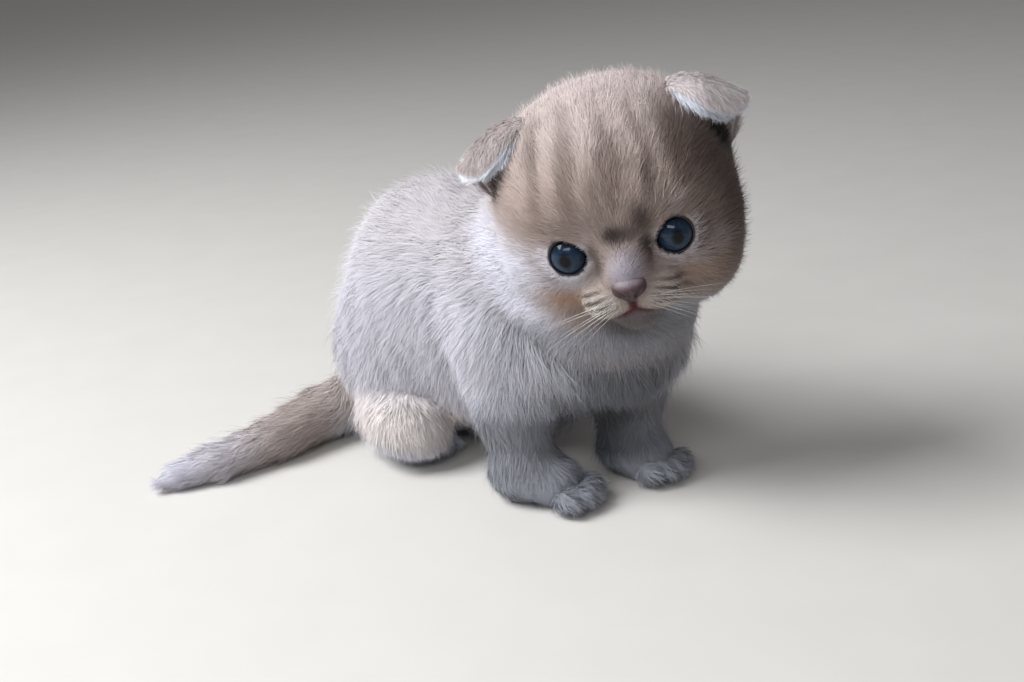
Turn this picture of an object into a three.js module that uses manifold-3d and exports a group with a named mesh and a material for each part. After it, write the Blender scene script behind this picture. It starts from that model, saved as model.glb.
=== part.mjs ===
// A sitting Scottish fold kitten about four weeks old, life size, as a still museum model.
// Millimetres, +Z up. The kitten faces -Y, its left side is +X, and it sits on the plane z = 0.
//
// The body is one smooth form, with ellipsoids and tapering limbs whose distances are blended.
// Its skin is laid in quads on a grid, and thin cuts part it into the kitten's named parts.
import * as THREE from 'three';
import { mergeVertices } from 'three/addons/utils/BufferGeometryUtils.js';
import Module from 'manifold-3d';

const wasm = await Module();
wasm.setup();

// Gap kept between two parts that touch
const GAP = 0.3;

// Head: the middle of the skull, and how it is turned, tipped down and tilted, in degrees
const HEAD_AT = [4.4, -44.5, 86];
const HEAD_TURN = -40;
const HEAD_TIP = 10;
const HEAD_TILT = 9;

// Eyes, in the head's own frame
const EYE_RADIUS = 6.9;
const EYE_AT = [12.9, -21, -2.3];
const EYE_TOE_OUT = 12;
const LID_THICK = 1.5;
const EYE_OPEN_WIDTH = 8.8;
const EYE_OPEN_HEIGHT = 9.8;

// Nose leather, mouth and nostrils, in the head's own frame
const NOSE_AT = [0, -32.9, -10.9];
const NOSE_SIZE = [4, 2.8, 2.8];
const NOSE_TURN = -20;
const NOSE_FOOT = 2.4;
const NOSTRIL_RADIUS = 0.65;
const NOSTRIL_LINE = [[0.9, -1.2, -0.9], [2.1, -2.4, -0.3], [3.8, -2, 0.8]];
const MOUTH_HALF_WIDTH = 9;
const MOUTH_LEVEL = -18.2;
const MOUTH_RADIUS = 0.7;
const MOUTH_BOW = 1.1;
const MOUTH_DROOP = 2.2;
const PHILTRUM_RADIUS = 0.55;

// Ears: the root on the skull, the fold line and the free rim, each from the inner to the outer end
const EAR_ROOT = [[19, 3, 25], [27, 9, 17.5], [31.5, 6, 3.5]];
const EAR_FOLD = [[20, 0.5, 27.6], [29, 2, 25.4], [37.4, 2, 19.8]];
const EAR_RIM = [[22.3, -10, 23.2], [29.8, -7.5, 18.6], [37.4, -3.2, 12.4]];
const EAR_THICK = 2;
const EAR_EDGE_THICK = 1.2;
const EAR_LIFT = 0.8;
const EAR_FOLD_SHARP = 0.55;
const EAR_CUP_AT = [29.2, -4.5, 12.5];
const EAR_CUP_SIZE = [4.5, 5, 5];

// Grid steps for the skin of the face, the skull, the limbs, the paws, the trunk and the nose
const FACE_STEP = 3;
const FACE_DEPTH_STEP = 2.2;
const HEAD_STEP = 4.8;
const LIMB_STEP = 4.2;
const PAW_STEP = 2.45;
const HINDPAW_STEP = 3.4;
const BODY_STEP = 6;
const NOSE_STEP = 1.7;

// Reach of the grids, from low to high on each axis, for the head and for the body
const HEAD_REACH = [[-42, 42], [-38, 48], [-46, 44]];
const FACE_DEPTH_END = -15;
const BODY_REACH = [[-98, 42], [-62, 80], [-6, 96]];

// A limb's grid reaches this far past its stations, the nose's past its sizes, and a skin this
// far past the cut that trims it. The cutting space is a cube this wide
const LIMB_SPARE = 8;
const NOSE_SPARE = 2.5;
const CUT_SPARE = 8;
const ROOM = 400;

// The head's grid is a fan that widens from the face to the back of the skull
const FAN_AT = [-36, -6];
const FAN_START = 0.72;
const FAN_GROWTH = 0.017;

// A grid is closed this far inside its own sides. A point of the skin keeps a share of its
// cell's width from the cell's sides, and moves onto the surface in a few passes
const GRID_EDGE = 0.4;
const CELL_MARGIN = 0.06;
const SETTLE_PASSES = 4;
const SETTLE_NUDGE = 1e-3;
const SETTLE_ROUNDS = 20;

// Colours from the photograph
const COAT_PALE = 0xcfc9cb;
const COAT_TAUPE = 0xa8978f;
const COAT_GREY = 0x9a9aa2;
const EYE_BLUE = 0x3f5468;
const NOSE_MAUVE = 0x6b4a4c;

const radians = THREE.MathUtils.degToRad;

// Places the head's own frame in the body's frame
const headPlace = new THREE.Matrix4().compose(
  new THREE.Vector3(...HEAD_AT),
  new THREE.Quaternion().setFromEuler(
    new THREE.Euler(radians(HEAD_TIP), -radians(HEAD_TILT), radians(HEAD_TURN), 'ZXY')),
  new THREE.Vector3(1, 1, 1));
const headPlaceBack = headPlace.clone().invert();

// Distance to an ellipsoid, close enough near its surface; turn is degrees about X, Y and Z
function ellipsoid([cx, cy, cz], [rx, ry, rz], turn = [0, 0, 0]) {
  const euler = new THREE.Euler(...turn.map(radians), 'ZXY');
  const m = new THREE.Matrix4().makeRotationFromEuler(euler).transpose().elements;
  return (x, y, z) => {
    const dx = x - cx;
    const dy = y - cy;
    const dz = z - cz;
    const lx = m[0] * dx + m[4] * dy + m[8] * dz;
    const ly = m[1] * dx + m[5] * dy + m[9] * dz;
    const lz = m[2] * dx + m[6] * dy + m[10] * dz;
    const near = Math.hypot(lx / rx, ly / ry, lz / rz);
    const slope = Math.hypot(lx / (rx * rx), ly / (ry * ry), lz / (rz * rz));
    return slope < 1e-9 ? -Math.min(rx, ry, rz) : near * (near - 1) / slope;
  };
}

// Distance to a limb that tapers along straight stretches between [x, y, z, radius] stations
function limb(stations, softness = 2) {
  const stretches = stations.slice(1).map((b, i) => {
    const a = stations[i];
    const along = [b[0] - a[0], b[1] - a[1], b[2] - a[2]];
    const square = along[0] ** 2 + along[1] ** 2 + along[2] ** 2;
    return (x, y, z) => {
      const dx = x - a[0];
      const dy = y - a[1];
      const dz = z - a[2];
      const t = THREE.MathUtils.clamp((dx * along[0] + dy * along[1] + dz * along[2]) / square, 0, 1);
      return Math.hypot(dx - t * along[0], dy - t * along[1], dz - t * along[2])
        - (a[3] + t * (b[3] - a[3]));
    };
  });
  return blend(softness, ...stretches);
}

// Smooth union of distances, rounded over the given width
function blend(width, ...fields) {
  return (x, y, z) => {
    let d = fields[0](x, y, z);
    for (let i = 1; i < fields.length; i++) {
      const e = fields[i](x, y, z);
      const h = Math.max(width - Math.abs(d - e), 0) / width;
      d = Math.min(d, e) - h * h * width / 4;
    }
    return d;
  };
}

// A form given in the head's own frame, measured from the body's frame
function inHead(field) {
  const m = headPlaceBack.elements;
  return (x, y, z) => field(
    m[0] * x + m[4] * y + m[8] * z + m[12],
    m[1] * x + m[5] * y + m[9] * z + m[13],
    m[2] * x + m[6] * y + m[10] * z + m[14]);
}

const mirrored = ([x, ...rest], side) => [x * side, ...rest];
const bothSides = (make) => [1, -1].map(make);

// The head, in its own frame
function headForm() {
  const skull = ellipsoid([0, 3, 4.7], [32.2, 32, 26.6]);
  const cheeks = bothSides((s) => ellipsoid([16.5 * s, -9, -8], [14.5, 16, 13.5]));
  const brows = bothSides((s) => ellipsoid([12.5 * s, -18, 6], [10, 9, 7.5]));
  const lids = bothSides((s) => ellipsoid(mirrored(EYE_AT, s),
    [EYE_RADIUS + LID_THICK, EYE_RADIUS + LID_THICK, EYE_RADIUS + LID_THICK]));
  const bridge = limb([[0, -19, -1, 7], [0, -28.9, -7.9, 5.4]]);
  const pads = bothSides((s) => ellipsoid([5.6 * s, -25.8, -15.4], [7.2, 7, 5.8], [0, 0, 12 * s]));
  const chin = ellipsoid([0, -23, -21.5], [6.5, 6.5, 5]);
  const jowls = bothSides((s) => ellipsoid([16 * s, -4, -19], [12, 14, 12]));
  const skullAndCheeks = blend(9, skull, ...cheeks, ...brows, ...jowls);
  const face = blend(5, skullAndCheeks, bridge, chin);
  return blend(2.5, blend(4.5, face, ...pads), ...lids);
}

// Trunk, throat and neck
function trunkForm() {
  const chest = ellipsoid([0, -16, 48], [27, 24, 30]);
  const throat = ellipsoid([7.5, -38.5, 53], [25, 19.5, 25]);
  const withers = ellipsoid([-1, 4, 58], [26, 26, 26]);
  const loin = ellipsoid([-3.3, 27, 53], [31, 32, 31.5]);
  const rump = ellipsoid([-3.3, 39.5, 31.5], [33, 31.5, 31.5]);
  const belly = ellipsoid([-1, 12, 38], [24, 28, 26]);
  const neck = limb([[0, -14, 66, 20], [3, -36, 80, 22]]);
  return blend(12, chest, throat, withers, loin, rump, belly, neck);
}

// Toes of a paw: four round ends side by side across its front, the middle two furthest out
function toes({ at, heading, reach, radius }) {
  const across = [Math.cos(radians(heading)), Math.sin(radians(heading))];
  const ahead = [Math.sin(radians(heading)), -Math.cos(radians(heading))];
  return [-1.5, -0.5, 0.5, 1.5].map((n) => {
    const side = n * radius * TOE_SPACING;
    const out = reach - TOE_CURVE * n * n;
    return ellipsoid([at[0] + side * across[0] + out * ahead[0], at[1] + side * across[1] + out * ahead[1],
      at[2]], TOE_SHAPE.map((share) => radius * share), [0, 0, heading + n * TOE_FAN]);
  });
}

const FORELEG = {
  right: [[-15, -13, 47, 13], [-17, -19, 26, 11], [-18.7, -23.3, 9.8, 9.2], [-15.6, -31.3, 7, 8.2]],
  left: [[17, -20, 45, 13], [16, -29, 25, 10.4], [14.2, -31.8, 9.8, 9], [14.5, -36.5, 7, 8.2]],
};
const FOREPAW = {
  right: { at: [-14.8, -35, 4.4], heading: 20, reach: 6.5, radius: 3.2 },
  left: { at: [15, -38.6, 4.4], heading: 6, reach: 6.5, radius: 3.2 },
};
const HINDLEG = {
  right: [[-24.5, 33, 15, 14], [-27, 21.5, 13.8, 12.2]],
  left: [[22.5, 33, 15, 14], [25, 21.5, 13.8, 12.2]],
};
const HINDFOOT = {
  right: [[-20, 46, 8, 7.6], [-19.5, 27, 6.5, 7.4]],
  left: [[19.5, 46, 8, 7.6], [19.5, 27, 6.5, 7.4]],
};
const HINDPAW = {
  right: { at: [-20.5, 25, 4.2], heading: 4, reach: 5, radius: 2.9 },
  left: { at: [20, 25, 4.2], heading: -4, reach: 5, radius: 2.9 },
};
const TAIL = [[-4, 54, 15, 12], [-15, 62, 11.5, 10.8], [-33, 61.5, 9.6, 9.4], [-54, 58, 7.3, 7.6],
  [-73, 58, 5.8, 6.1], [-86, 60.5, 4.3, 4.5], [-90.5, 61.5, 3.4, 3.2]];

// Toes: shape and spacing in radii, how far the outer ones stay back, and their fan in degrees
const TOE_SHAPE = [1, 1.5, 1.2];
const TOE_SPACING = 1.32;
const TOE_CURVE = 0.8;
const TOE_FAN = 9;

// Planes that part the legs and the tail from the trunk, as [normal, level]
const FORELEG_CUTS = {
  right: [[[-1, 0, 0], 2], [[-0.625, 0, -0.781], -13.6], [[0, -1, 0], 2]],
  left: [[[1, 0, 0], 3], [[0.625, 0, -0.781], -13], [[0, -1, 0], 5]],
};
const HINDLEG_CUTS = {
  right: [[[-1, 0, 0], 5], [[0.2, 0.12, -1], -29], [[0, -1, 0], -57], [[0, 1, 0], 2],
    [[0.87, -0.5, 0], -54.2]],
  left: [[[1, 0, 0], 5], [[-0.2, 0.12, -1], -29], [[0, -1, 0], -57], [[0, 1, 0], 2]],
};

// Planes that part the paws from the legs
const WRIST_CUT = [[0, 0.35, 1], 7.9];
const HOCK_CUT = [[0, 0.25, 1], 15.4];

// The tail's root is parted from the rump by a plane, and its lengths at these values of x
const TAIL_CUTS = [[[-0.87, 0.5, 0], 54.2]];
const TAIL_SPLITS = [-48, -70];

// Widths over which the forms run into each other
const LIMB_SOFT = 5;
const TAIL_SOFT = 6;
const TOE_SOFT = 2.2;
const HOCK_SOFT = 3;
const SHOULDER_SOFT = 7;
const HIP_SOFT = 4;
const NAPE_SOFT = 8;

const SIDES = ['right', 'left'];
const forelegs = Object.fromEntries(SIDES.map((s) => [s, limb(FORELEG[s], LIMB_SOFT)]));
const forepaws = Object.fromEntries(SIDES.map((s) => [s, toes(FOREPAW[s])]));
const hindlegs = Object.fromEntries(SIDES.map((s) => [s, limb(HINDLEG[s], LIMB_SOFT)]));
const hindfeet = Object.fromEntries(SIDES.map((s) => [s, limb(HINDFOOT[s], LIMB_SOFT)]));
const hindpaws = Object.fromEntries(SIDES.map((s) => [s, toes(HINDPAW[s])]));
const tail = limb(TAIL, TAIL_SOFT);

// The whole kitten but its ears, eyes and nose leather
function kittenForm() {
  const fore = SIDES.map((s) => blend(TOE_SOFT, forelegs[s], ...forepaws[s]));
  const hind = SIDES.map((s) => blend(TOE_SOFT, blend(HOCK_SOFT, hindlegs[s], hindfeet[s]),
    ...hindpaws[s]));
  const body = blend(SHOULDER_SOFT, trunkForm(), ...fore, tail);
  const seated = blend(HIP_SOFT, body, ...hind);
  return blend(NAPE_SOFT, seated, inHead(headForm()));
}
const kitten = kittenForm();

// Evenly spaced grid lines from low to high, about a step apart
function evenLines(low, high, step) {
  const count = Math.round((high - low) / step);
  return Array.from({ length: count + 1 }, (_, i) => low + (high - low) * i / count);
}

// Lays the surface where the field is zero: one point in each grid cell that the surface
// passes, pulled onto the surface, and a quad round each grid edge that it crosses
function skinOf(form, lines, place = (p) => p) {
  const [X, Y, Z] = lines;
  const [nx, ny, nz] = lines.map((l) => l.length);
  const low = lines.map((l) => l[0] + GRID_EDGE);
  const high = lines.map((l) => l[l.length - 1] - GRID_EDGE);
  const field = (x, y, z) => Math.max(form(x, y, z), low[0] - x, x - high[0],
    low[1] - y, y - high[1], low[2] - z, z - high[2]);
  const at = (i, j, k) => i + nx * (j + ny * k);
  const value = new Float64Array(nx * ny * nz);
  for (let k = 0; k < nz; k++) {
    for (let j = 0; j < ny; j++) {
      for (let i = 0; i < nx; i++) value[at(i, j, k)] = field(X[i], Y[j], Z[k]);
    }
  }
  settleChecks(value, [nx, ny, nz]);
  const corners = [0, 1, 2, 3, 4, 5, 6, 7].map((c) => [c & 1, (c >> 1) & 1, c >> 2]);
  const edges = [];
  for (const a of corners) {
    for (let axis = 0; axis < 3; axis++) {
      if (a[axis] === 0) edges.push([a, a.map((v, n) => (n === axis ? 1 : v))]);
    }
  }
  const points = [];
  const pointOf = new Map();
  for (let k = 0; k < nz - 1; k++) {
    for (let j = 0; j < ny - 1; j++) {
      for (let i = 0; i < nx - 1; i++) {
        const sum = [0, 0, 0];
        let count = 0;
        for (const [a, b] of edges) {
          const va = value[at(i + a[0], j + a[1], k + a[2])];
          const vb = value[at(i + b[0], j + b[1], k + b[2])];
          if ((va < 0) === (vb < 0)) continue;
          const t = va / (va - vb);
          const from = [X[i + a[0]], Y[j + a[1]], Z[k + a[2]]];
          const to = [X[i + b[0]], Y[j + b[1]], Z[k + b[2]]];
          for (let n = 0; n < 3; n++) sum[n] += from[n] + t * (to[n] - from[n]);
          count++;
        }
        if (!count) continue;
        const cell = [[X[i], X[i + 1]], [Y[j], Y[j + 1]], [Z[k], Z[k + 1]]].map(
          ([a, b]) => [a + CELL_MARGIN * (b - a), b - CELL_MARGIN * (b - a)]);
        pointOf.set(at(i, j, k), points.length / 3);
        points.push(...place(ontoSurface(field, sum.map((v) => v / count), cell)));
      }
    }
  }
  const faces = [];
  const quad = (a, b, c, d, outward) => {
    const ids = [a, b, c, d].map((key) => pointOf.get(key));
    if (!outward) ids.reverse();
    const p = ids.map((id) => points.slice(3 * id, 3 * id + 3));
    const short = distance(p[0], p[2]) <= distance(p[1], p[3]);
    if (short) faces.push(ids[0], ids[1], ids[2], ids[0], ids[2], ids[3]);
    else faces.push(ids[1], ids[2], ids[3], ids[1], ids[3], ids[0]);
  };
  for (let k = 0; k < nz - 1; k++) {
    for (let j = 0; j < ny - 1; j++) {
      for (let i = 0; i < nx - 1; i++) {
        const inside = value[at(i, j, k)] < 0;
        if (j && k && inside !== value[at(i + 1, j, k)] < 0) {
          quad(at(i, j - 1, k - 1), at(i, j, k - 1), at(i, j, k), at(i, j - 1, k), inside);
        }
        if (i && k && inside !== value[at(i, j + 1, k)] < 0) {
          quad(at(i - 1, j, k - 1), at(i - 1, j, k), at(i, j, k), at(i, j, k - 1), inside);
        }
        if (i && j && inside !== value[at(i, j, k + 1)] < 0) {
          quad(at(i - 1, j - 1, k), at(i, j - 1, k), at(i, j, k), at(i - 1, j, k), inside);
        }
      }
    }
  }
  return geometryOf(points, faces);
}

// Where the four corners of a cell's side alternate in and out, the corner nearest the surface
// changes sides, so that four quads never share an edge
function settleChecks(value, counts) {
  const stride = [1, counts[0], counts[0] * counts[1]];
  let changed = true;
  for (let pass = 0; changed && pass < SETTLE_ROUNDS; pass++) {
    changed = false;
    for (let axis = 0; axis < 3; axis++) {
      const u = stride[(axis + 1) % 3];
      const v = stride[(axis + 2) % 3];
      for (let n = 0; n + u + v < value.length; n++) {
        const ids = [n, n + u, n + u + v, n + v];
        const [a, b, c, d] = ids.map((id) => value[id] < 0);
        if (a !== c || b !== d || a === b) continue;
        ids.sort((p, q) => Math.abs(value[p]) - Math.abs(value[q]));
        value[ids[0]] = value[ids[0]] < 0 ? SETTLE_NUDGE : -SETTLE_NUDGE;
        changed = true;
      }
    }
  }
}

const distance = (a, b) => Math.hypot(a[0] - b[0], a[1] - b[1], a[2] - b[2]);

// Slope of a field at a point
function slopeAt(field, [x, y, z], reach = 0.05) {
  return [
    (field(x + reach, y, z) - field(x - reach, y, z)) / (2 * reach),
    (field(x, y + reach, z) - field(x, y - reach, z)) / (2 * reach),
    (field(x, y, z + reach) - field(x, y, z - reach)) / (2 * reach)];
}

// Moves a point down the slope to where the field is zero, no further than its own cell
function ontoSurface(field, start, cell) {
  let p = start;
  for (let n = 0; n < SETTLE_PASSES; n++) {
    const slope = slopeAt(field, p);
    const square = slope[0] ** 2 + slope[1] ** 2 + slope[2] ** 2;
    if (square < 1e-6) return p;
    const step = field(...p) / square;
    p = p.map((v, axis) => THREE.MathUtils.clamp(v - step * slope[axis], cell[axis][0], cell[axis][1]));
  }
  return p;
}

function geometryOf(points, faces) {
  const geometry = new THREE.BufferGeometry();
  geometry.setAttribute('position', new THREE.Float32BufferAttribute(points, 3));
  geometry.setIndex(faces);
  return geometry;
}

// A closed geometry as a solid that can be cut and joined
function solid(geometry) {
  const plain = geometry.clone();
  plain.deleteAttribute('normal');
  plain.deleteAttribute('uv');
  const merged = mergeVertices(plain, 1e-4);
  return new wasm.Manifold(new wasm.Mesh({
    numProp: 3,
    vertProperties: new Float32Array(merged.attributes.position.array),
    triVerts: new Uint32Array(merged.index.array),
  }));
}

// The same geometry with every point moved out along the slope of its form
function grown(geometry, form, reach) {
  const copy = geometry.clone();
  const position = copy.attributes.position;
  for (let i = 0; i < position.count; i++) {
    const p = [position.getX(i), position.getY(i), position.getZ(i)];
    const slope = slopeAt(form, p);
    const size = Math.hypot(...slope);
    position.setXYZ(i, ...p.map((v, axis) => v + reach * slope[axis] / size));
  }
  return copy;
}

// A closed sheet through the points of middle(s, t), s and t from 0 to 1, thinner at its rim
function sheet(middle, thick, edgeThick, acrossCount, alongCount) {
  const grid = [];
  for (let j = 0; j <= alongCount; j++) {
    for (let i = 0; i <= acrossCount; i++) grid.push(middle(i / acrossCount, j / alongCount));
  }
  const id = (i, j) => i + j * (acrossCount + 1);
  const within = THREE.MathUtils.clamp;
  const pick = (i, j) => grid[id(within(i, 0, acrossCount), within(j, 0, alongCount))];
  const layers = [1, -1].flatMap((side) => grid.flatMap((p, n) => {
    const i = n % (acrossCount + 1);
    const j = Math.floor(n / (acrossCount + 1));
    const across = pick(i + 1, j).clone().sub(pick(i - 1, j));
    const along = pick(i, j + 1).clone().sub(pick(i, j - 1));
    const normal = across.cross(along).normalize();
    const edge = i === 0 || i === acrossCount || j === alongCount;
    const half = (edge ? edgeThick : thick) / 2;
    return p.clone().addScaledVector(normal, side * half).toArray();
  }));
  const faces = [];
  const back = grid.length;
  for (let j = 0; j < alongCount; j++) {
    for (let i = 0; i < acrossCount; i++) {
      const [a, b, c, d] = [id(i, j), id(i + 1, j), id(i + 1, j + 1), id(i, j + 1)];
      faces.push(a, b, c, a, c, d);
      faces.push(a + back, c + back, b + back, a + back, d + back, c + back);
    }
  }
  const rim = [];
  for (let i = 0; i < acrossCount; i++) rim.push(id(i, 0));
  for (let j = 0; j < alongCount; j++) rim.push(id(acrossCount, j));
  for (let i = acrossCount; i > 0; i--) rim.push(id(i, alongCount));
  for (let j = alongCount; j > 0; j--) rim.push(id(0, j));
  rim.forEach((a, n) => {
    const b = rim[(n + 1) % rim.length];
    faces.push(a, a + back, b + back, a, b + back, b);
  });
  return geometryOf(layers, faces);
}

// One folded ear in the head's own frame: up from the root, over the fold and down to the rim
function earGeometry(side) {
  const [root, fold, rim] = [EAR_ROOT, EAR_FOLD, EAR_RIM].map((line) => {
    const ends = line.map(([x, y, z]) => new THREE.Vector3(x * side, y, z + side * EAR_LIFT));
    return new THREE.CatmullRomCurve3(ends);
  });
  const middle = (s, t) => {
    const across = side > 0 ? s : 1 - s;
    const [a, b, c] = [root, fold, rim].map((curve) => curve.getPoint(across));
    const control = b.clone().multiplyScalar(2).addScaledVector(a, -0.5).addScaledVector(c, -0.5);
    const corner = b.clone().lerp(control, EAR_FOLD_SHARP);
    return new THREE.QuadraticBezierCurve3(a, corner, c).getPoint(t);
  };
  return sheet(middle, EAR_THICK, EAR_EDGE_THICK, 7, 9);
}

// The eye's own frame inside the head, looking along -Y
function eyePlace(side) {
  return new THREE.Matrix4().compose(
    new THREE.Vector3(...mirrored(EYE_AT, side)),
    new THREE.Quaternion().setFromEuler(new THREE.Euler(0, 0, radians(EYE_TOE_OUT * side))),
    new THREE.Vector3(1, 1, 1));
}

// The opening between the lids: round, drawn to a point at the inner corner
function lidOpening(side) {
  const outline = new THREE.Shape();
  const count = 20;
  for (let n = 0; n < count; n++) {
    const a = 2 * Math.PI * n / count;
    const inner = Math.max(0, -Math.cos(a)) ** 5;
    const x = side * (EYE_OPEN_WIDTH / 2) * Math.cos(a) * (1 + 0.14 * inner);
    const z = (EYE_OPEN_HEIGHT / 2) * Math.sin(a) - 0.5 * inner;
    if (n === 0) outline.moveTo(x, z);
    else outline.lineTo(x, z);
  }
  const prism = new THREE.ExtrudeGeometry(outline, { depth: 3 * EYE_RADIUS, bevelEnabled: false });
  prism.rotateX(Math.PI / 2);
  return prism.applyMatrix4(eyePlace(side));
}

const headSkin = headForm();

// The point of the face's skin at (x, z) of the head's own frame, reached from in front
function facePoint(x, z) {
  const close = 0.005;
  const share = 0.8;
  let y = HEAD_REACH[1][0];
  for (let n = 0; n < 200 && headSkin(x, y, z) > close; n++) y += share * headSkin(x, y, z);
  return new THREE.Vector3(x, y, z);
}

// A round-ended rod with closed ends along a line of points
function rod(line, radius) {
  const path = new THREE.CatmullRomCurve3(line);
  const section = new THREE.Shape();
  const sides = 6;
  for (let n = 0; n < sides; n++) {
    const a = 2 * Math.PI * n / sides;
    if (n === 0) section.moveTo(radius, 0);
    else section.lineTo(radius * Math.cos(a), radius * Math.sin(a));
  }
  return new THREE.ExtrudeGeometry(section, { steps: 4 * line.length, extrudePath: path });
}

// The line of the mouth: down from the nose, then out to both corners and drawn down there
function mouthCuts() {
  const corner = (side) => {
    const line = [];
    for (let n = 0; n <= 5; n++) {
      const t = n / 5;
      const x = side * MOUTH_HALF_WIDTH * t;
      const z = MOUTH_LEVEL - MOUTH_BOW * Math.sin(Math.PI * t) - MOUTH_DROOP * t * t;
      line.push(facePoint(x, z));
    }
    return rod(line, MOUTH_RADIUS);
  };
  const noseFoot = NOSE_AT[2] - NOSE_FOOT;
  const philtrum = [0, 0.5, 1].map((t) => facePoint(0, THREE.MathUtils.lerp(noseFoot, MOUTH_LEVEL, t)));
  return [corner(1), corner(-1), rod(philtrum, PHILTRUM_RADIUS)];
}

const noseForm = ellipsoid(NOSE_AT, NOSE_SIZE, [NOSE_TURN, 0, 0]);

function nostrilCuts() {
  return bothSides((s) => rod(NOSTRIL_LINE.map(([x, y, z]) => new THREE.Vector3(
    NOSE_AT[0] + s * x, NOSE_AT[1] + y, NOSE_AT[2] + z)), NOSTRIL_RADIUS));
}

// A flat cut: keeps the side where the normal points, from the given offset on
const keepBeyond = (body, normal, offset) => body.trimByPlane(normal, offset);

// Only the largest closed surface of a solid
function largest(body) {
  return body.decompose().sort((a, b) => b.volume() - a.volume())[0];
}

const placed = (geometry, matrix) => geometry.clone().applyMatrix4(matrix);

// The head and the neck are parted from what lies behind them by round cuts, [centre, radius]
const HEAD_CUT = [[4.4, -44.5, 85], 39.5];
const NECK_CUT = [[4.4, -36, 90], 56];
const unit = (v) => v.map((c) => c / Math.hypot(...v));
const dot = (a, b) => a[0] * b[0] + a[1] * b[1] + a[2] * b[2];
const WAIST_NORMAL = unit([0, 1, 0.15]);
const WAIST_LEVEL = 8;
const away = (normal) => normal.map((c) => -c);

const materials = {};
function material(name, color, roughness) {
  materials[name] ??= new THREE.MeshStandardMaterial({ color, roughness, metalness: 0 });
  return materials[name].clone();
}

const group = new THREE.Group();
function addPart(name, body, look) {
  const mesh = largest(body).getMesh();
  const part = new THREE.Mesh(geometryOf(Array.from(mesh.vertProperties), Array.from(mesh.triVerts)), look);
  part.name = name;
  group.add(part);
}

// The head's skin, laid on a grid in the head's own frame so that the face gets the fine steps
const inBody = (x, y, z) => {
  const m = headPlace.elements;
  return kitten(m[0] * x + m[4] * y + m[8] * z + m[12], m[1] * x + m[5] * y + m[9] * z + m[13],
    m[2] * x + m[6] * y + m[10] * z + m[14]);
};
const ball = ([centre, radius], spare) => {
  const sphere = new THREE.SphereGeometry(radius + spare, 22, 14);
  return sphere.rotateX(Math.PI / 2).translate(...centre);
};
const cutInHead = new THREE.Vector3(...HEAD_CUT[0]).applyMatrix4(headPlaceBack);
const nearHead = (x, y, z) => Math.max(inBody(x, y, z),
  Math.hypot(x - cutInHead.x, y - cutInHead.y, z - cutInHead.z) - HEAD_CUT[1] - CUT_SPARE);
const fanned = ([x, y, z]) => {
  const widen = FAN_START + FAN_GROWTH * (y - FAN_AT[0]);
  return [x * widen, y, FAN_AT[1] + (z - FAN_AT[1]) * widen];
};
const headGeometry = skinOf((x, y, z) => nearHead(...fanned([x, y, z])), [
  evenLines(...HEAD_REACH[0], FACE_STEP),
  [...evenLines(HEAD_REACH[1][0], FACE_DEPTH_END, FACE_DEPTH_STEP).slice(0, -1),
    ...evenLines(FACE_DEPTH_END, HEAD_REACH[1][1], HEAD_STEP)],
  evenLines(...HEAD_REACH[2], FACE_STEP)], fanned);
const headBlock = solid(placed(headGeometry, headPlace)).intersect(solid(ball(HEAD_CUT, -GAP / 2)));
const headGrown = solid(placed(grown(headGeometry, nearHead, GAP), headPlace));

// The rest of the skin, open towards the head
const restForm = (x, y, z) => Math.max(kitten(x, y, z), HEAD_CUT[1] - CUT_SPARE
  - distance([x, y, z], HEAD_CUT[0]));
const bodyGeometry = skinOf(restForm, BODY_REACH.map((reach) => evenLines(...reach, BODY_STEP)));
const bodyBlock = keepBeyond(solid(bodyGeometry), [0, 0, 1], 0).subtract(solid(ball(HEAD_CUT, GAP / 2)));

// Eyes, with their sockets and the opening between the lids
function eyeGeometry(side, radius) {
  return placed(new THREE.IcosahedronGeometry(radius, 3), eyePlace(side));
}

let head = headBlock;
for (const [name, side] of [['left', 1], ['right', -1]]) {
  const globe = solid(placed(eyeGeometry(side, EYE_RADIUS), headPlace));
  head = head.subtract(solid(placed(eyeGeometry(side, EYE_RADIUS + GAP), headPlace)));
  head = head.subtract(solid(placed(lidOpening(side), headPlace)));
  addPart(`eye_${name}`, globe, material('eye', EYE_BLUE, 0.15));

  const ear = solid(placed(earGeometry(side), headPlace)).subtract(headGrown);
  addPart(`ear_${name}`, ear, material('ear', COAT_TAUPE, 0.9));
  const cup = new THREE.SphereGeometry(1, 14, 10).scale(...EAR_CUP_SIZE);
  cup.translate(...mirrored(EAR_CUP_AT, side));
  head = head.subtract(solid(placed(cup, headPlace)));
}

const noseReach = Math.max(...NOSE_SIZE) + NOSE_SPARE;
const noseGeometry = skinOf(noseForm, NOSE_AT.map(
  (c) => evenLines(c - noseReach, c + noseReach, NOSE_STEP)));
head = head.subtract(solid(placed(grown(noseGeometry, noseForm, GAP), headPlace)));
let nose = solid(placed(noseGeometry, headPlace));
for (const cut of nostrilCuts()) nose = nose.subtract(solid(placed(cut, headPlace)));
for (const cut of mouthCuts()) head = head.subtract(solid(placed(cut, headPlace)));
addPart('nose', nose, material('nose', NOSE_MAUVE, 0.5));
addPart('head', head, material('head', COAT_TAUPE, 0.95));

// Grid lines round some stations of a limb
const boxLines = (stations, step) => [0, 1, 2].map((axis) => {
  const low = Math.min(...stations.map((s) => s[axis] - s[3])) - LIMB_SPARE;
  const high = Math.max(...stations.map((s) => s[axis] + s[3])) + LIMB_SPARE;
  return evenLines(low, high, step);
});

// The convex space on the inner side of planes [normal, level], drawn in by the given amount
function spaceWithin(planes, drawIn) {
  const room = solid(new THREE.BoxGeometry(ROOM, ROOM, ROOM));
  return planes.reduce((rest, [normal, level]) => keepBeyond(rest, unit(normal),
    level / Math.hypot(...normal) + drawIn), room);
}

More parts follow.
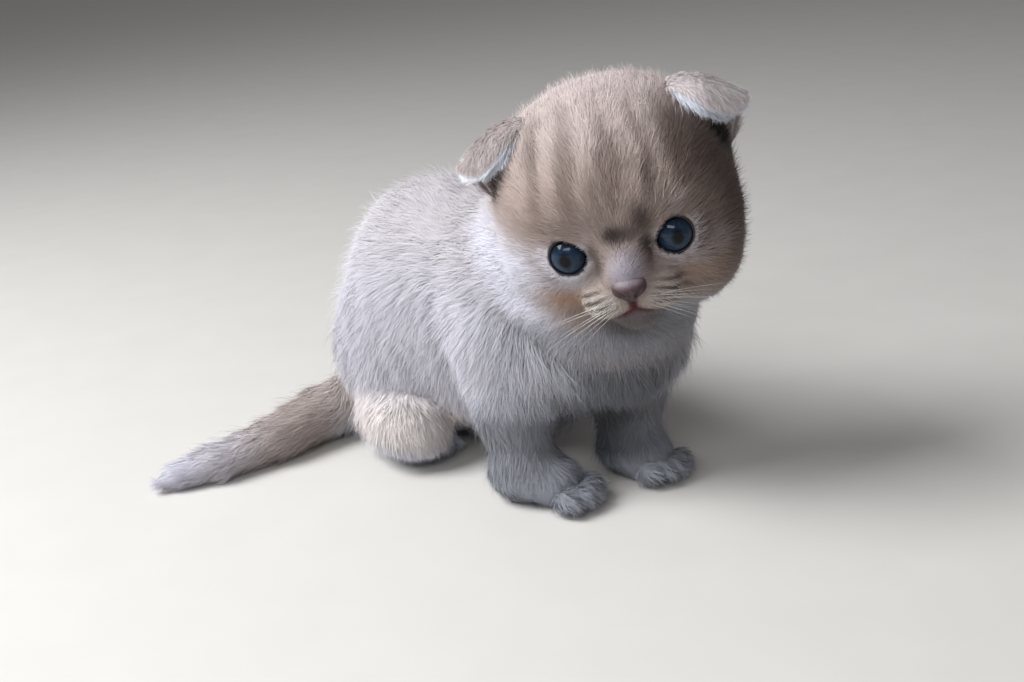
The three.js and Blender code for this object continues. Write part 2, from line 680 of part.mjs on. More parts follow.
// The skin round some stations, laid on a grid of its own step and kept inside the planes
function skinRound(stations, step, planes) {
  const skin = solid(skinOf(restForm, boxLines(stations, step)));
  return skin.intersect(spaceWithin([...planes, [[0, 0, 1], -GAP / 2]], GAP / 2));
}

// The same plane seen from its other side
const reversed = ([normal, level]) => [away(normal), -level];

// The trunk, opened where a limb's planes stand
let trunk = bodyBlock;
function openTrunk(planes) {
  trunk = trunk.subtract(spaceWithin(planes, -GAP / 2));
}

// The two sides of a body, parted at a plane
function splitAt(body, normal, level) {
  return [keepBeyond(body, normal, level + GAP / 2), keepBeyond(body, away(normal), -level + GAP / 2)];
}

for (const s of SIDES) {
  const cuts = FORELEG_CUTS[s];
  openTrunk(cuts);
  const leg = skinRound(FORELEG[s], LIMB_STEP, [...cuts, WRIST_CUT]);
  addPart(`foreleg_${s}`, leg, material('leg', COAT_GREY, 0.95));
  const foot = skinRound(FORELEG[s].slice(2), PAW_STEP, [...cuts, reversed(WRIST_CUT)]);
  addPart(`forepaw_${s}`, foot, material('paw', COAT_GREY, 0.95));
}
for (const s of SIDES) {
  const cuts = HINDLEG_CUTS[s];
  openTrunk(cuts);
  const leg = skinRound([...HINDLEG[s], ...HINDFOOT[s]], LIMB_STEP, [...cuts, HOCK_CUT]);
  addPart(`hindleg_${s}`, leg, material('leg', COAT_GREY, 0.95));
  const foot = skinRound(HINDFOOT[s], HINDPAW_STEP, [...cuts, reversed(HOCK_CUT)]);
  addPart(`hindpaw_${s}`, foot, material('paw', COAT_GREY, 0.95));
}
openTrunk(TAIL_CUTS);
const tailPiece = skinRound(TAIL.slice(1), LIMB_STEP, TAIL_CUTS);
const [tailRoot, tailOuter] = splitAt(tailPiece, [1, 0, 0], TAIL_SPLITS[0]);
const [tailMiddle, tailTip] = splitAt(tailOuter, [1, 0, 0], TAIL_SPLITS[1]);
addPart('tail_root', tailRoot, material('tail', COAT_TAUPE, 0.95));
addPart('tail_middle', tailMiddle, material('tail', COAT_TAUPE, 0.95));
addPart('tail_tip', tailTip, material('tail', COAT_PALE, 0.95));

const neck = trunk.intersect(solid(ball(NECK_CUT, -GAP / 2)));
const belowNeck = trunk.subtract(solid(ball(NECK_CUT, GAP / 2)));
const [abdomen, chest] = splitAt(belowNeck, WAIST_NORMAL, WAIST_LEVEL);
addPart('neck', neck, material('neck', COAT_PALE, 0.95));
addPart('chest', chest, material('trunk', COAT_PALE, 0.95));
addPart('abdomen', abdomen, material('trunk', COAT_PALE, 0.95));

// The origin is under the middle of the kitten's box, on the floor
const box = new THREE.Box3().setFromObject(group);
const middle = box.getCenter(new THREE.Vector3());
for (const part of group.children) part.geometry.translate(-middle.x, -middle.y, -box.min.z);

export default group;
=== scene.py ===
"""A sitting Scottish fold kitten: seamless skin, eyes, nose, folded ears, whiskers and a coat of tufts.

Sizes of the animal are millimetres in the kitten's own frame, where the head's and the limbs'
places were measured. to_frame() takes them to metres in the model's frame.
"""

import math

import bpy
import numpy as np
from mathutils import Matrix, Vector


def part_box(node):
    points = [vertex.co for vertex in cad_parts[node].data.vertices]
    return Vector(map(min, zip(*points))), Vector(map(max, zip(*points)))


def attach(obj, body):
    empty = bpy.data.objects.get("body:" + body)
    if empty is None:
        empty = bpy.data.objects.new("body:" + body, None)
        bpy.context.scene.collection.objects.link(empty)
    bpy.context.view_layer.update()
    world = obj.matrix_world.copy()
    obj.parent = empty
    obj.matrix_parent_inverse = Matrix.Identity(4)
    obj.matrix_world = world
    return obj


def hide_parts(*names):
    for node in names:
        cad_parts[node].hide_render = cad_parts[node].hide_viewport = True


bl_info = {
    "name": "Scottish fold kitten",
    "version": (1, 0, 0),
    "blender": (4, 5, 0),
    "location": "View3D > Sidebar > Kitten",
    "description": "Builds the skin, coat, eyes, ears, nose, whiskers and stage of a sitting kitten",
    "category": "Object",
}

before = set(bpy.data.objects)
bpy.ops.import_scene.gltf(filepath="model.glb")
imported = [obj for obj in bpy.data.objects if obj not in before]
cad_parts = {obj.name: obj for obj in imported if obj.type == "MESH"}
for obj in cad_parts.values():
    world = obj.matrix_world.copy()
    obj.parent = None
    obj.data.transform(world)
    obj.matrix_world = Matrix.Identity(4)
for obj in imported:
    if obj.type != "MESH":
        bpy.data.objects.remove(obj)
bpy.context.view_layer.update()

MM = 0.001
BODY = "root"
FLESH_NODES = (
    "head", "neck", "chest", "abdomen", "foreleg_left", "foreleg_right", "forepaw_left",
    "forepaw_right", "hindleg_left", "hindleg_right", "hindpaw_left", "hindpaw_right",
    "tail_root", "tail_middle", "tail_tip")

# Head: the middle of the skull, and how it is tipped down, tilted and turned, in degrees
HEAD_AT = np.array((4.4, -44.5, 86.0))
HEAD_TIP, HEAD_TILT, HEAD_TURN = 10, 9, -40

# Forms of the head in its own frame, as place and size; a form with a twin is the left one
SKULL = ((0, 3, 4.7), (32.2, 32, 26.6))
CHEEK = ((16.5, -9, -8), (14.5, 16, 13.5))
BROW = ((12.5, -18, 6), (10, 9, 7.5))
JOWL = ((16, -4, -19), (12, 14, 12))
CHIN = ((0, -23, -21.5), (6.5, 6.5, 5))
WHISKER_PAD = ((5.6, -25.8, -15.4), (7.2, 7, 5.8))
PAD_TURN = 12
BRIDGE = ((0, -19, -1, 7), (0, -28.9, -7.9, 5.4))

# Eyes and their lids, in the head's own frame; the left eye stands for both
EYE_RADIUS = 6.9
EYE_AT = (12.9, -21.0, -2.3)
EYE_TOE_OUT = 12
EYE_BULGE = 0.55
LID_THICK = 1.5
EYE_OPEN = (8.8, 9.8)
EYE_CORNER_SHARP = 5
EYE_CORNER_LONG = 0.2
EYE_CORNER_LOW = 0.5
EYE_FLOOR = 1.2
LID_RIM = 0.24
LID_RIM_LIFT = 0.25
LID_EDGE = 0.9

# Nose leather: its place, half its size, how it is tipped, and where the philtrum starts below it
NOSE_AT = (0.0, -32.9, -10.9)
NOSE_SIZE = (4.0, 2.8, 2.8)
NOSE_TURN = -20
NOSE_FOOT = 2.4

# Parts of the nose leather, measured from its middle: wings, wedge below, nostrils and groove
NOSE_WING = ((2.2, 0.9, 0.2), (2.1, 2.1, 2.0))
NOSE_WEDGE = ((0, 0.5, -1.4), (1.7, 2.1, 2.5))
NOSE_BLEND = 1.4
NOSTRIL = ((1.3, -1.8, -1.3, 0.5), (2.2, -2.1, -0.8, 0.7), (3.2, -1.8, -0.1, 0.55), (4.1, -0.8, 0.6, 0.3))
NOSE_GROOVE = ((0, -3.1, 0.6, 0.25), (0, -1.9, -3.6, 0.4))
NOSE_CUT_BLEND, NOSTRIL_EDGE, GROOVE_EDGE = 0.3, 0.5, 0.4
NOSE_REACH, NOSE_STEP = 6.6, 0.3

# Mouth: half its width, the height of its middle, its bow and droop, and the line's radius
MOUTH_HALF_WIDTH = 9.0
MOUTH_LEVEL = -18.2
MOUTH_BOW = 1.1
MOUTH_DROOP = 2.2
MOUTH_RADIUS = 0.75
MOUTH_EDGE = 0.8

# Left ear: its root, fold and rim from the inner to the outer end, its lift and how it is rounded
EAR_ROOT = ((19, 3, 25), (27, 9, 17.5), (31.5, 6, 3.5))
EAR_FOLD = ((20, 0.5, 27.6), (29, 2, 25.4), (37.4, 2, 19.8))
EAR_RIM = ((22.3, -10, 23.2), (29.8, -7.5, 18.6), (37.4, -3.2, 12.4))
EAR_LIFT = 0.8
EAR_FOLD_SHARP = 0.55
EAR_SINK = 2.4
EAR_ROUND = (0.5, 0.26)
EAR_ROUND_SHARE = 0.4

# Hollow inside the ear, and half the thickness of its flap
EAR_CUP_AT = (29.2, -4.5, 12.5)
EAR_CUP_SIZE = (4.5, 5, 5)
EAR_CUP_SHALLOW = 0.6
EAR_CUP_EDGE = 1.6
EAR_HALF_THICK = 0.8

# Trunk from chest to rump, as place and size, and the neck
TRUNK = (
    ((0, -16, 48), (27, 24, 30)),
    ((7.5, -38.5, 53), (25, 19.5, 25)),
    ((-1, 4, 58), (26, 26, 26)),
    ((-3.3, 27, 53), (31, 32, 31.5)),
    ((-3.3, 39.5, 31.5), (33, 31.5, 31.5)),
    ((-1, 12, 38), (24, 28, 26)))
NECK = ((0, -14, 66, 20), (3, -36, 80, 22))

# Legs, feet and tail: stations of x, y, z and radius. Paws: place, heading, reach and toe radius
FORELEG = {
    "right": ((-15, -13, 47, 13), (-17, -19, 26, 11), (-18.7, -23.3, 9.8, 9.2), (-15.6, -31.3, 7, 8.2)),
    "left": ((17, -20, 45, 13), (16, -29, 25, 10.4), (14.2, -31.8, 9.8, 9), (14.5, -36.5, 7, 8.2))}
FOREPAW = {"right": ((-14.8, -35, 4.4), 20, 6.5, 3.2), "left": ((15, -38.6, 4.4), 6, 6.5, 3.2)}
HINDLEG = {
    "right": ((-24.5, 33, 15, 14), (-27, 21.5, 13.8, 12.2)),
    "left": ((22.5, 33, 15, 14), (25, 21.5, 13.8, 12.2))}
HINDFOOT = {
    "right": ((-20, 46, 8, 7.6), (-19.5, 27, 6.5, 7.4)),
    "left": ((19.5, 46, 8, 7.6), (19.5, 27, 6.5, 7.4))}
HINDPAW = {"right": ((-20.5, 25, 4.2), 4, 5, 2.9), "left": ((20, 25, 4.2), -4, 5, 2.9)}
TAIL = (
    (-4, 54, 15, 12), (-15, 62, 11.5, 10.8), (-33, 61.5, 9.6, 9.4), (-54, 58, 7.3, 7.6),
    (-73, 58, 5.8, 6.1), (-86, 60.5, 4.3, 4.5), (-90.5, 61.5, 3.4, 3.2))
TOE_PLACES = (-1.5, -0.5, 0.5, 1.5)
TOE_SHAPE = (1, 1.5, 1.2)
TOE_SPACING = 1.32
TOE_CURVE = 0.8
TOE_FAN = 9

# Widths over which the forms run into each other
SKULL_BLEND, MUZZLE_BLEND, PAD_BLEND, LID_BLEND, BRIDGE_BLEND = 9, 5, 4.5, 2.5, 2
TRUNK_BLEND, NECK_BLEND, LIMB_BLEND, FOOT_BLEND, TOE_BLEND = 12, 2, 5, 3, 2.2
TAIL_BLEND, BODY_BLEND, HIND_BLEND, HEAD_BLEND = 1.2, 7, 4, 8
SKIN_FLOOR = 0.25

# Grid on which the skin is laid, along x, y and z: stops of place and step in millimetres
SKIN_GRID = (
    ((-97, 1.5), (-40, 1.05), (44,)),
    ((-86, 1.0), (-14, 1.5), (80,)),
    ((-1.6, 1.25), (58, 1.0), (122,)))

# Whiskers on each side in rows from front to back, and the hairs above each eye
WHISKER_ROWS, WHISKERS_IN_ROW, BROW_HAIRS = 3, 4, 3
WHISKER_LENGTH, BROW_HAIR_LENGTH = (17, 25), (9, 13)
WHISKER_START, WHISKER_STEP, WHISKER_ROW_DROP = (4.2, -14.2), (1.5, 0.12), 1.25
BROW_HAIR_START, BROW_HAIR_STEP = (11, 8.5), (2, 0.5)
WHISKER_TIP = 0.12
HAIR_SWAY = 0.06
HAIR_SAG = (0, 0.25, -0.22)
WHISKER_SEED = 50

# Lamps: how far to the camera's right and ahead, and height in metres, size and colour
LAMPS = {
    "window": (-0.87, -0.24, 0.64, (0.54, 0.54), (0.96, 0.98, 1.0)),
    "front": (-0.25, -1.0, 0.42, (0.46, 0.14), (0.95, 0.98, 1.0))}
LAMP_DISTANCE = 0.62
LAMP_TARGET = (0, -10, 50)
ROOM_COLOUR = (0.93, 0.92, 0.95, 1)

# The photograph's camera: its place, its line of sight and its focal length in image widths
CAMERA_AT = (-238.1, -336.1, 175.0)
CAMERA_HEADING = (0.574, 0.819)
CAMERA_PITCH = 18.504
CAMERA_ROLL = 5.322
CAMERA_FOCUS = 1457 / 1024
SENSOR = 36.0


# Forms of the body

def turned(x, y, z):
    """Rotation for degrees about Y, then X, then Z."""
    return np.array(
        Matrix.Rotation(math.radians(z), 3, "Z")
        @ Matrix.Rotation(math.radians(x), 3, "X")
        @ Matrix.Rotation(math.radians(y), 3, "Y"))


HEAD_TURNED = turned(HEAD_TIP, -HEAD_TILT, HEAD_TURN)


def in_head(p):
    """Points of the kitten's frame in the head's own frame."""
    return (p - HEAD_AT) @ HEAD_TURNED


def out_of_head(q):
    """Points of the head's own frame in the kitten's frame."""
    return np.asarray(q) @ HEAD_TURNED.T + HEAD_AT


def size_of(v):
    """Length of each vector."""
    return np.sqrt(np.einsum("...i,...i->...", v, v))


def smooth(low, high, value):
    """0 at low, 1 at high, with an even start and end; low may be the larger."""
    t = np.clip((value - low) / (high - low), 0, 1)
    return t * t * (3 - 2 * t)


def ellipsoid(at, size, turn=(0, 0, 0)):
    """Distance to an ellipsoid, near enough for blending; size is half its width each way."""
    at = np.array(at, np.float32)
    size = np.array(size, np.float32)
    rotation = turned(*turn).astype(np.float32)

    def field(p):
        q = (p - at) @ rotation
        near = size_of(q / size)
        slope = size_of(q / (size * size))
        return near * (near - 1) / np.maximum(slope, 1e-6)
    return field


def blend(width, *fields):
    """Smooth union of distances, rounded over the width."""
    def field(p):
        d = fields[0](p)
        for other in fields[1:]:
            e = other(p)
            h = np.maximum(width - np.abs(d - e), 0) / width
            d = np.minimum(d, e) - h * h * width / 4
        return d
    return field


def limb(stations, softness):
    """A limb that tapers along straight stretches between its stations."""
    def stretch(a, b):
        a, b = np.array(a, np.float32), np.array(b, np.float32)
        along = b[:3] - a[:3]
        square = along @ along

        def field(p):
            d = p - a[:3]
            t = np.clip(d @ along / square, 0, 1)
            return size_of(d - t[:, None] * along) - (a[3] + t * (b[3] - a[3]))
        return field
    return blend(softness, *[stretch(a, b) for a, b in zip(stations, stations[1:])])


def toes(at, heading, reach, radius):
    """Four toes side by side in front of a place, fanned out about the heading."""
    turn = math.radians(heading)
    across = np.array((math.cos(turn), math.sin(turn), 0))
    ahead = np.array((math.sin(turn), -math.cos(turn), 0))
    made = []
    for n in TOE_PLACES:
        place = np.array(at) + n * radius * TOE_SPACING * across + (reach - TOE_CURVE * n * n) * ahead
        made.append(ellipsoid(place, [radius * k for k in TOE_SHAPE], (0, 0, heading + n * TOE_FAN)))
    return made


def both(make):
    """What a function makes for the left side and for the right."""
    return [make(1), make(-1)]


def on_side(s, at):
    """A place of the left side, moved to the right side where s is -1."""
    return (at[0] * s, *at[1:])


def head_form():
    """The head without its ears, from skull, cheeks, brows, jowls, bridge, chin, pads and lids."""
    cheeks, brows, jowls = (
        both(lambda s: ellipsoid(on_side(s, at), size)) for at, size in (CHEEK, BROW, JOWL))
    at, size = WHISKER_PAD
    pads = both(lambda s: ellipsoid(on_side(s, at), size, (0, 0, PAD_TURN * s)))
    lids = both(lambda s: ellipsoid(on_side(s, EYE_AT), [EYE_RADIUS + LID_THICK] * 3))
    skull = blend(SKULL_BLEND, ellipsoid(*SKULL), *cheeks, *brows, *jowls)
    muzzle = blend(MUZZLE_BLEND, skull, limb(BRIDGE, BRIDGE_BLEND), ellipsoid(*CHIN))
    return blend(LID_BLEND, blend(PAD_BLEND, muzzle, *pads), *lids)


def trunk_form():
    """Chest, back, belly and rump in one, with the neck."""
    return blend(TRUNK_BLEND, *[ellipsoid(at, size) for at, size in TRUNK], limb(NECK, NECK_BLEND))


def kitten_form():
    """The outline of the whole coat, but for the ears, eyes and nose leather."""
    sides = ("right", "left")
    fore = [blend(TOE_BLEND, limb(FORELEG[s], LIMB_BLEND), *toes(*FOREPAW[s])) for s in sides]
    folded = [
        blend(FOOT_BLEND, limb(HINDLEG[s], LIMB_BLEND), limb(HINDFOOT[s], LIMB_BLEND)) for s in sides]
    hind = [blend(TOE_BLEND, leg, *toes(*HINDPAW[s])) for leg, s in zip(folded, sides)]
    body = blend(BODY_BLEND, trunk_form(), *fore, limb(TAIL, TAIL_BLEND))
    head = head_form()
    return blend(HEAD_BLEND, blend(HIND_BLEND, body, *hind), lambda p: head(in_head(p)))


KITTEN = kitten_form()
HEAD = head_form()
NOSE = ellipsoid(NOSE_AT, NOSE_SIZE, (NOSE_TURN, 0, 0))

SHIFT = np.array((Vector(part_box("eye_left")[0]) + Vector(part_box("eye_left")[1])) / 2) / MM
SHIFT = SHIFT - out_of_head(EYE_AT)


def to_frame(p):
    return (np.asarray(p) + SHIFT) * MM


def from_frame(p):
    return np.asarray(p) / MM - SHIFT


# Regions of the coat

# Columns of the table below, in millimetres, and tufts for each square millimetre
COAT_DEPTH, TUFT_LENGTH, TUFT_WIDTH, TUFT_DENSITY = range(4)
TRAITS = {
    "trunk": (3.0, 9.5, 0.20, 7.6),
    "chest": (3.6, 12.5, 0.20, 7.6),
    "hind": (2.2, 7.0, 0.19, 8.6),
    "fore": (1.8, 5.8, 0.17, 9.4),
    "paw": (1.4, 4.6, 0.16, 14.0),
    "tail": (2.6, 9.0, 0.20, 8.0),
    "tail_end": (1.3, 6.5, 0.18, 10.0),
    "crown": (1.8, 5.8, 0.18, 11.0),
    "jaw": (1.2, 4.4, 0.16, 13.0),
    "face": (0.6, 2.7, 0.13, 21.0),
}

# Tufts shorter than this have one bend fewer
SHORT_LENGTH = 8.0
MOST_TRIANGLES = 190000

# Spread of a tuft's size and lift, and the share of tufts that stand away from the others
LENGTH_RANGE = (0.72, 1.18)
WIDTH_RANGE = (0.8, 1.2)
LIFT_MEAN, LIFT_LOCKS, LIFT_STRAY = 0.92, 0.10, 0.12
LIFT_RANGE = (0.35, 1.6)
SWAY_LOCKS, SWAY_TUFTS, SWAY_STRAY = 0.20, 0.12, 0.14
STRAY_SHARE = 0.11
STRAY_LENGTH = 3.0
STRAY_LIFT = (1.3, 2.3)
STRAY_WIDTH = 0.6

# Shape of a tuft: roll about its root, curl to the side, taper, and how deep its root sits
TUFT_ROLL, TUFT_CURL, TUFT_CURL_DRIFT = 0.45, 0.13, 0.08
TUFT_TAPER = 1.6
TUFT_SINK = 0.25
COAT_FLOOR = 0.15
PATCH_SIZE = 0.003
NORMAL_SWAY = 0.25

# Distances over which the coat starts, away from nose leather, mouth, eyes and the ears' hollows
NOSE_BARE, MOUTH_BARE, EYE_BARE, CUP_BARE = (0.15, 0.6), (0.9, 1.5), (0.5, 0.9), (-0.4, 0.8)

# Distances over which tufts get shorter towards nose, eyes and mouth, and by what share
NOSE_NEAR, EYE_NEAR, MOUTH_NEAR = (9, 2), (2.8, 0.6), (3.2, 0.9)
NOSE_SHORTER, EYE_SHORTER, MOUTH_SHORTER, EYE_FLATTER = 0.45, 0.65, 0.75, 0.4

# Where the coat of the head parts, just above the nose, and the least flow that still sets a lie
NOSE_WHORL = (0, -34, -9)
LEAST_FLOW = 0.05


def regions(p):
    """Weights of the coat's regions at each point, which add up to one.

    A region lies over those before it. Each smooth() names the two places, in millimetres,
    where the region starts and where it is whole.
    """
    x, y, z = p[:, 0], p[:, 1], p[:, 2]
    head = smooth(44, 37, size_of(p - HEAD_AT))
    q = in_head(p)
    muzzle = size_of((q - (0, -30, -11)) * (0.9, 1, 1))
    masks = {
        "chest": smooth(-14, -34, y) * smooth(80, 70, z),
        "hind": smooth(32, 20, z) * smooth(0, 10, y),
        "fore": smooth(-2, -10, y) * smooth(40, 28, z) * smooth(4, 8, np.abs(x)),
        "paw": smooth(13, 8, z) * smooth(48, 44, y),
        "tail": smooth(-24, -36, x) * smooth(46, 52, y),
        "tail_end": smooth(-66, -84, x) * smooth(46, 52, y),
        "crown": head,
        "jaw": head * smooth(-15, -22, q[:, 2]),
        "face": head * smooth(27, 9, muzzle) * smooth(-24, -18.5, q[:, 2]),
    }
    weights = {"trunk": np.ones(len(p), np.float32)}
    for name, mask in masks.items():
        for other in weights:
            weights[other] = weights[other] * (1 - mask)
        weights[name] = mask
    return weights


def trait(weights, column):
    """One column of TRAITS at each point, mixed by the weights of the regions."""
    return sum(w * TRAITS[name][column] for name, w in weights.items())


def eye_local(p, side):
    """Points in the frame of one eye, which looks along -Y."""
    return (in_head(p) - on_side(side, EYE_AT)) @ turned(0, 0, EYE_TOE_OUT * side)


def eye_outline(count, grow=0.0):
    """The opening between the lids as angles, and its x outwards and z upwards."""
    a = np.linspace(0, 2 * np.pi, count, endpoint=False)
    inner = np.maximum(0, -np.cos(a)) ** EYE_CORNER_SHARP
    x = (EYE_OPEN[0] / 2 + grow) * np.cos(a) * (1 + EYE_CORNER_LONG * inner)
    z = (EYE_OPEN[1] / 2 + grow) * np.sin(a) - EYE_CORNER_LOW * inner
    return a, x, z


def eye_opening(p, side):
    """Distance outside the opening between the lids, in front of the eye."""
    q = eye_local(p, side)
    x, z = q[:, 0] * side, q[:, 2]
    half_wide, half_tall = EYE_OPEN[0] / 2, EYE_OPEN[1] / 2
    inner = np.maximum(0, -np.cos(np.arctan2(z / half_tall, x / half_wide))) ** EYE_CORNER_SHARP
    near = np.hypot(x / half_wide, (z + EYE_CORNER_LOW * inner) / half_tall)
    flat = (near / (1 + EYE_CORNER_LONG * inner) - 1) * half_wide
    return np.maximum(np.maximum(flat, EYE_RADIUS - EYE_FLOOR - size_of(q)), q[:, 1])


def face_point(x, z, start=-40.0, steps=200, stride=0.8, close=0.005):
    """The point of the head's outline in front of (x, z), found by steps back from the start."""
    y = start
    for _ in range(steps):
        d = float(HEAD(np.array(((x, y, z),)))[0])
        if d < close:
            break
        y += stride * d
    return np.array((x, y, z))


def mouth_lines():
    """The philtrum and the two halves of the mouth, in the kitten's frame."""
    lines = [[face_point(0, z) for z in np.linspace(NOSE_AT[2] - NOSE_FOOT, MOUTH_LEVEL, 4)]]
    for side in (1, -1):
        line = []
        for t in np.linspace(0, 1, 8):
            z = MOUTH_LEVEL - MOUTH_BOW * math.sin(math.pi * t) - MOUTH_DROOP * t * t
            line.append(face_point(side * MOUTH_HALF_WIDTH * t, z))
        lines.append(line)
    return [out_of_head(line) for line in lines]


MOUTH_LINES = mouth_lines()


def mouth_distance(p):
    """Distance to the line of the mouth."""
    nearest = np.full(len(p), 1e3, np.float32)
    for line in MOUTH_LINES:
        for a, b in zip(line, line[1:]):
            d = p - a
            t = np.clip(d @ (b - a) / ((b - a) @ (b - a)), 0, 1)
            nearest = np.minimum(nearest, size_of(d - t[:, None] * (b - a)))
    return nearest


def cups(p):
    """Distance to the hollows inside the ears."""
    q = in_head(p)
    return np.minimum(*both(lambda s: ellipsoid(on_side(s, EAR_CUP_AT), EAR_CUP_SIZE)(q)))


def nose_distance(p):
    """Distance to the nose leather."""
    return NOSE(in_head(p).astype(np.float32))


def carve(d, cut, width):
    """Takes a form out of a body, its edge rounded over the width."""
    h = np.maximum(width - np.abs(d + cut), 0) / width
    return np.maximum(d, -cut) + h * h * width / 4


def skin_form(p):
    """The skin, inside the coat's outline by the coat's depth."""
    d = KITTEN(p) + trait(regions(p), COAT_DEPTH)
    d = carve(d, cups(p) + EAR_CUP_SHALLOW, EAR_CUP_EDGE)
    for side in (1, -1):
        d = carve(d, eye_opening(p, side), LID_EDGE)
    d = carve(d, mouth_distance(p) - MOUTH_RADIUS, MOUTH_EDGE)
    return np.maximum(d, SKIN_FLOOR - p[:, 2])


# Laying a surface

def slope_of(field, p, reach=0.06):
    """The direction in which the field grows fastest, and how fast."""
    made = np.empty_like(p)
    for axis in range(3):
        step = np.zeros(3, np.float32)
        step[axis] = reach
        made[:, axis] = (field(p + step) - field(p - step)) / (2 * reach)
    return made


def in_blocks(field, p, size=200000):
    """The field at many points, a block at a time."""
    return np.concatenate([field(p[i:i + size]) for i in range(0, len(p), size)])


def sampled(field, lines, coarse, near):
    """The field where the lines cross, worked out point by point only near the surface."""
    rough_lines = [line[::coarse] for line in lines]
    rough = np.stack(np.meshgrid(*rough_lines, indexing="ij"), -1).reshape(-1, 3)
    value = in_blocks(field, rough).reshape([len(line) for line in rough_lines])
    for axis, line in enumerate(lines):
        at = np.minimum(np.arange(len(line)) // coarse, value.shape[axis] - 1)
        value = np.take(value, at, axis)
    close = np.nonzero(np.abs(value) < near)
    p = np.stack([lines[axis][close[axis]] for axis in range(3)], -1)
    value[close] = in_blocks(field, p)
    return value


# Corners of a cell of the grid, as steps along x, y and z
CORNERS = [(c & 1, (c >> 1) & 1, c >> 2) for c in range(8)]


def crossed_cells(inside):
    """Cells of the grid with corners both inside and outside the form."""
    some = np.zeros([n - 1 for n in inside.shape], np.int8)
    for corner in CORNERS:
        some += inside[tuple(slice(o, n - 1 + o) for o, n in zip(corner, inside.shape))]
    return np.nonzero((some > 0) & (some < len(CORNERS)))


def crossings(value, lines, cells):
    """The middle of the places where the surface crosses the edges of each cell."""
    total = np.zeros((len(cells[0]), 3), np.float32)
    crossed = np.zeros(len(cells[0]), np.float32)
    for corner in CORNERS:
        for axis in range(3):
            if corner[axis]:
                continue
            a = [c + o for c, o in zip(cells, corner)]
            b = list(a)
            b[axis] = a[axis] + 1
            va, vb = value[tuple(a)], value[tuple(b)]
            hit = (va < 0) != (vb < 0)
            t = np.where(hit, va / np.where(hit, va - vb, 1), 0)
            pa, pb = (np.stack([lines[n][at[n]] for n in range(3)], -1) for at in (a, b))
            total += np.where(hit[:, None], pa + t[:, None] * (pb - pa), 0)
            crossed += hit
    return total / crossed[:, None]


def quads_between(inside, number):
    """A quad round each grid edge that the surface crosses, facing out, from the cells' numbers."""
    quads = []
    for axis in range(3):
        u, v = (axis + 1) % 3, (axis + 2) % 3
        here, there = [slice(None)] * 3, [slice(None)] * 3
        here[axis], there[axis] = slice(0, -1), slice(1, None)
        here[u] = there[u] = slice(1, -1)
        here[v] = there[v] = slice(1, -1)
        a, b = inside[tuple(here)], inside[tuple(there)]
        at = list(np.nonzero(a != b))
        outward_here = a[tuple(at)]
        at[u] += 1
        at[v] += 1
        ring = []
        for du, dv in ((1, 1), (0, 1), (0, 0), (1, 0)):
            cell = list(at)
            cell[u] = at[u] - du
            cell[v] = at[v] - dv
            ring.append(number[tuple(cell)])
        ring = np.stack(ring, 1)
        ring[~outward_here] = ring[~outward_here][:, ::-1]
        quads.append(ring)
    return np.concatenate(quads)


def lay_surface(field, lines, coarse=3, near=9.0, rounds=2):
    """Points and quads of the surface where the field is zero, on a grid of uneven lines."""
    lines = [np.asarray(line, np.float32) for line in lines]
    value = sampled(field, lines, coarse, near)
    inside = value < 0
    cells = crossed_cells(inside)
    points = crossings(value, lines, cells)
    low = np.stack([lines[n][cells[n]] for n in range(3)], -1)
    high = np.stack([lines[n][cells[n] + 1] for n in range(3)], -1)
    for _ in range(rounds):
        slope = slope_of(field, points)
        square = np.maximum((slope * slope).sum(1), 1e-3)
        points = np.clip(points - slope * (field(points) / square)[:, None], low, high)
    number = np.full([len(line) - 1 for line in lines], -1, np.int64)
    number[cells] = np.arange(len(points))
    return points, quads_between(inside, number)


def spaced(*stops):
    """Grid lines through stops of (start, step), the last one (end,)."""
    line = []
    for (start, step), following in zip(stops, stops[1:]):
        count = max(1, round((following[0] - start) / step))
        line.extend(start + (following[0] - start) * np.arange(count) / count)
    return np.array(line + [stops[-1][0]])


def new_mesh(name, points, faces, corners=4):
    """A mesh object from points in metres and an array of faces of equal corner counts."""
    mesh = bpy.data.meshes.new(name)
    mesh.vertices.add(len(points))
    mesh.vertices.foreach_set("co", np.asarray(points, np.float32).ravel())
    faces = np.asarray(faces, np.int32)
    mesh.loops.add(faces.size)
    mesh.loops.foreach_set("vertex_index", faces.ravel())
    mesh.polygons.add(len(faces))
    mesh.polygons.foreach_set("loop_start", np.arange(len(faces), dtype=np.int32) * corners)
    mesh.polygons.foreach_set("use_smooth", np.ones(len(faces), bool))
    mesh.update()
    mesh.validate()
    made = bpy.data.objects.new(name, mesh)
    bpy.context.scene.collection.objects.link(made)
    return made


def set_colours(mesh, name, colours):
    """A colour for each point of the mesh."""
    layer = mesh.attributes.new(name, "FLOAT_COLOR", "POINT")
    full = np.ones((len(mesh.vertices), 4), np.float32)
    full[:, :3] = colours
    layer.data.foreach_set("color", full.ravel())


def set_floats(mesh, name, values):
    """A number for each point of the mesh."""
    layer = mesh.attributes.new(name, "FLOAT", "POINT")
    layer.data.foreach_set("value", np.asarray(values, np.float32))


def dress(made, material, slot, nodes=()):
    """Gives a finished piece its material and its body, and hides the CAD nodes that it stands for."""
    made.data.materials.append(material)
    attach(made, BODY)
    if nodes:
        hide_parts(*nodes)
    return made


# Markings

def linear(colour):
    """A colour out of 255 in linear light."""
    c = np.asarray(colour, float) / 255
    return np.where(c <= 0.04045, c / 12.92, ((c + 0.055) / 1.055) ** 2.4)


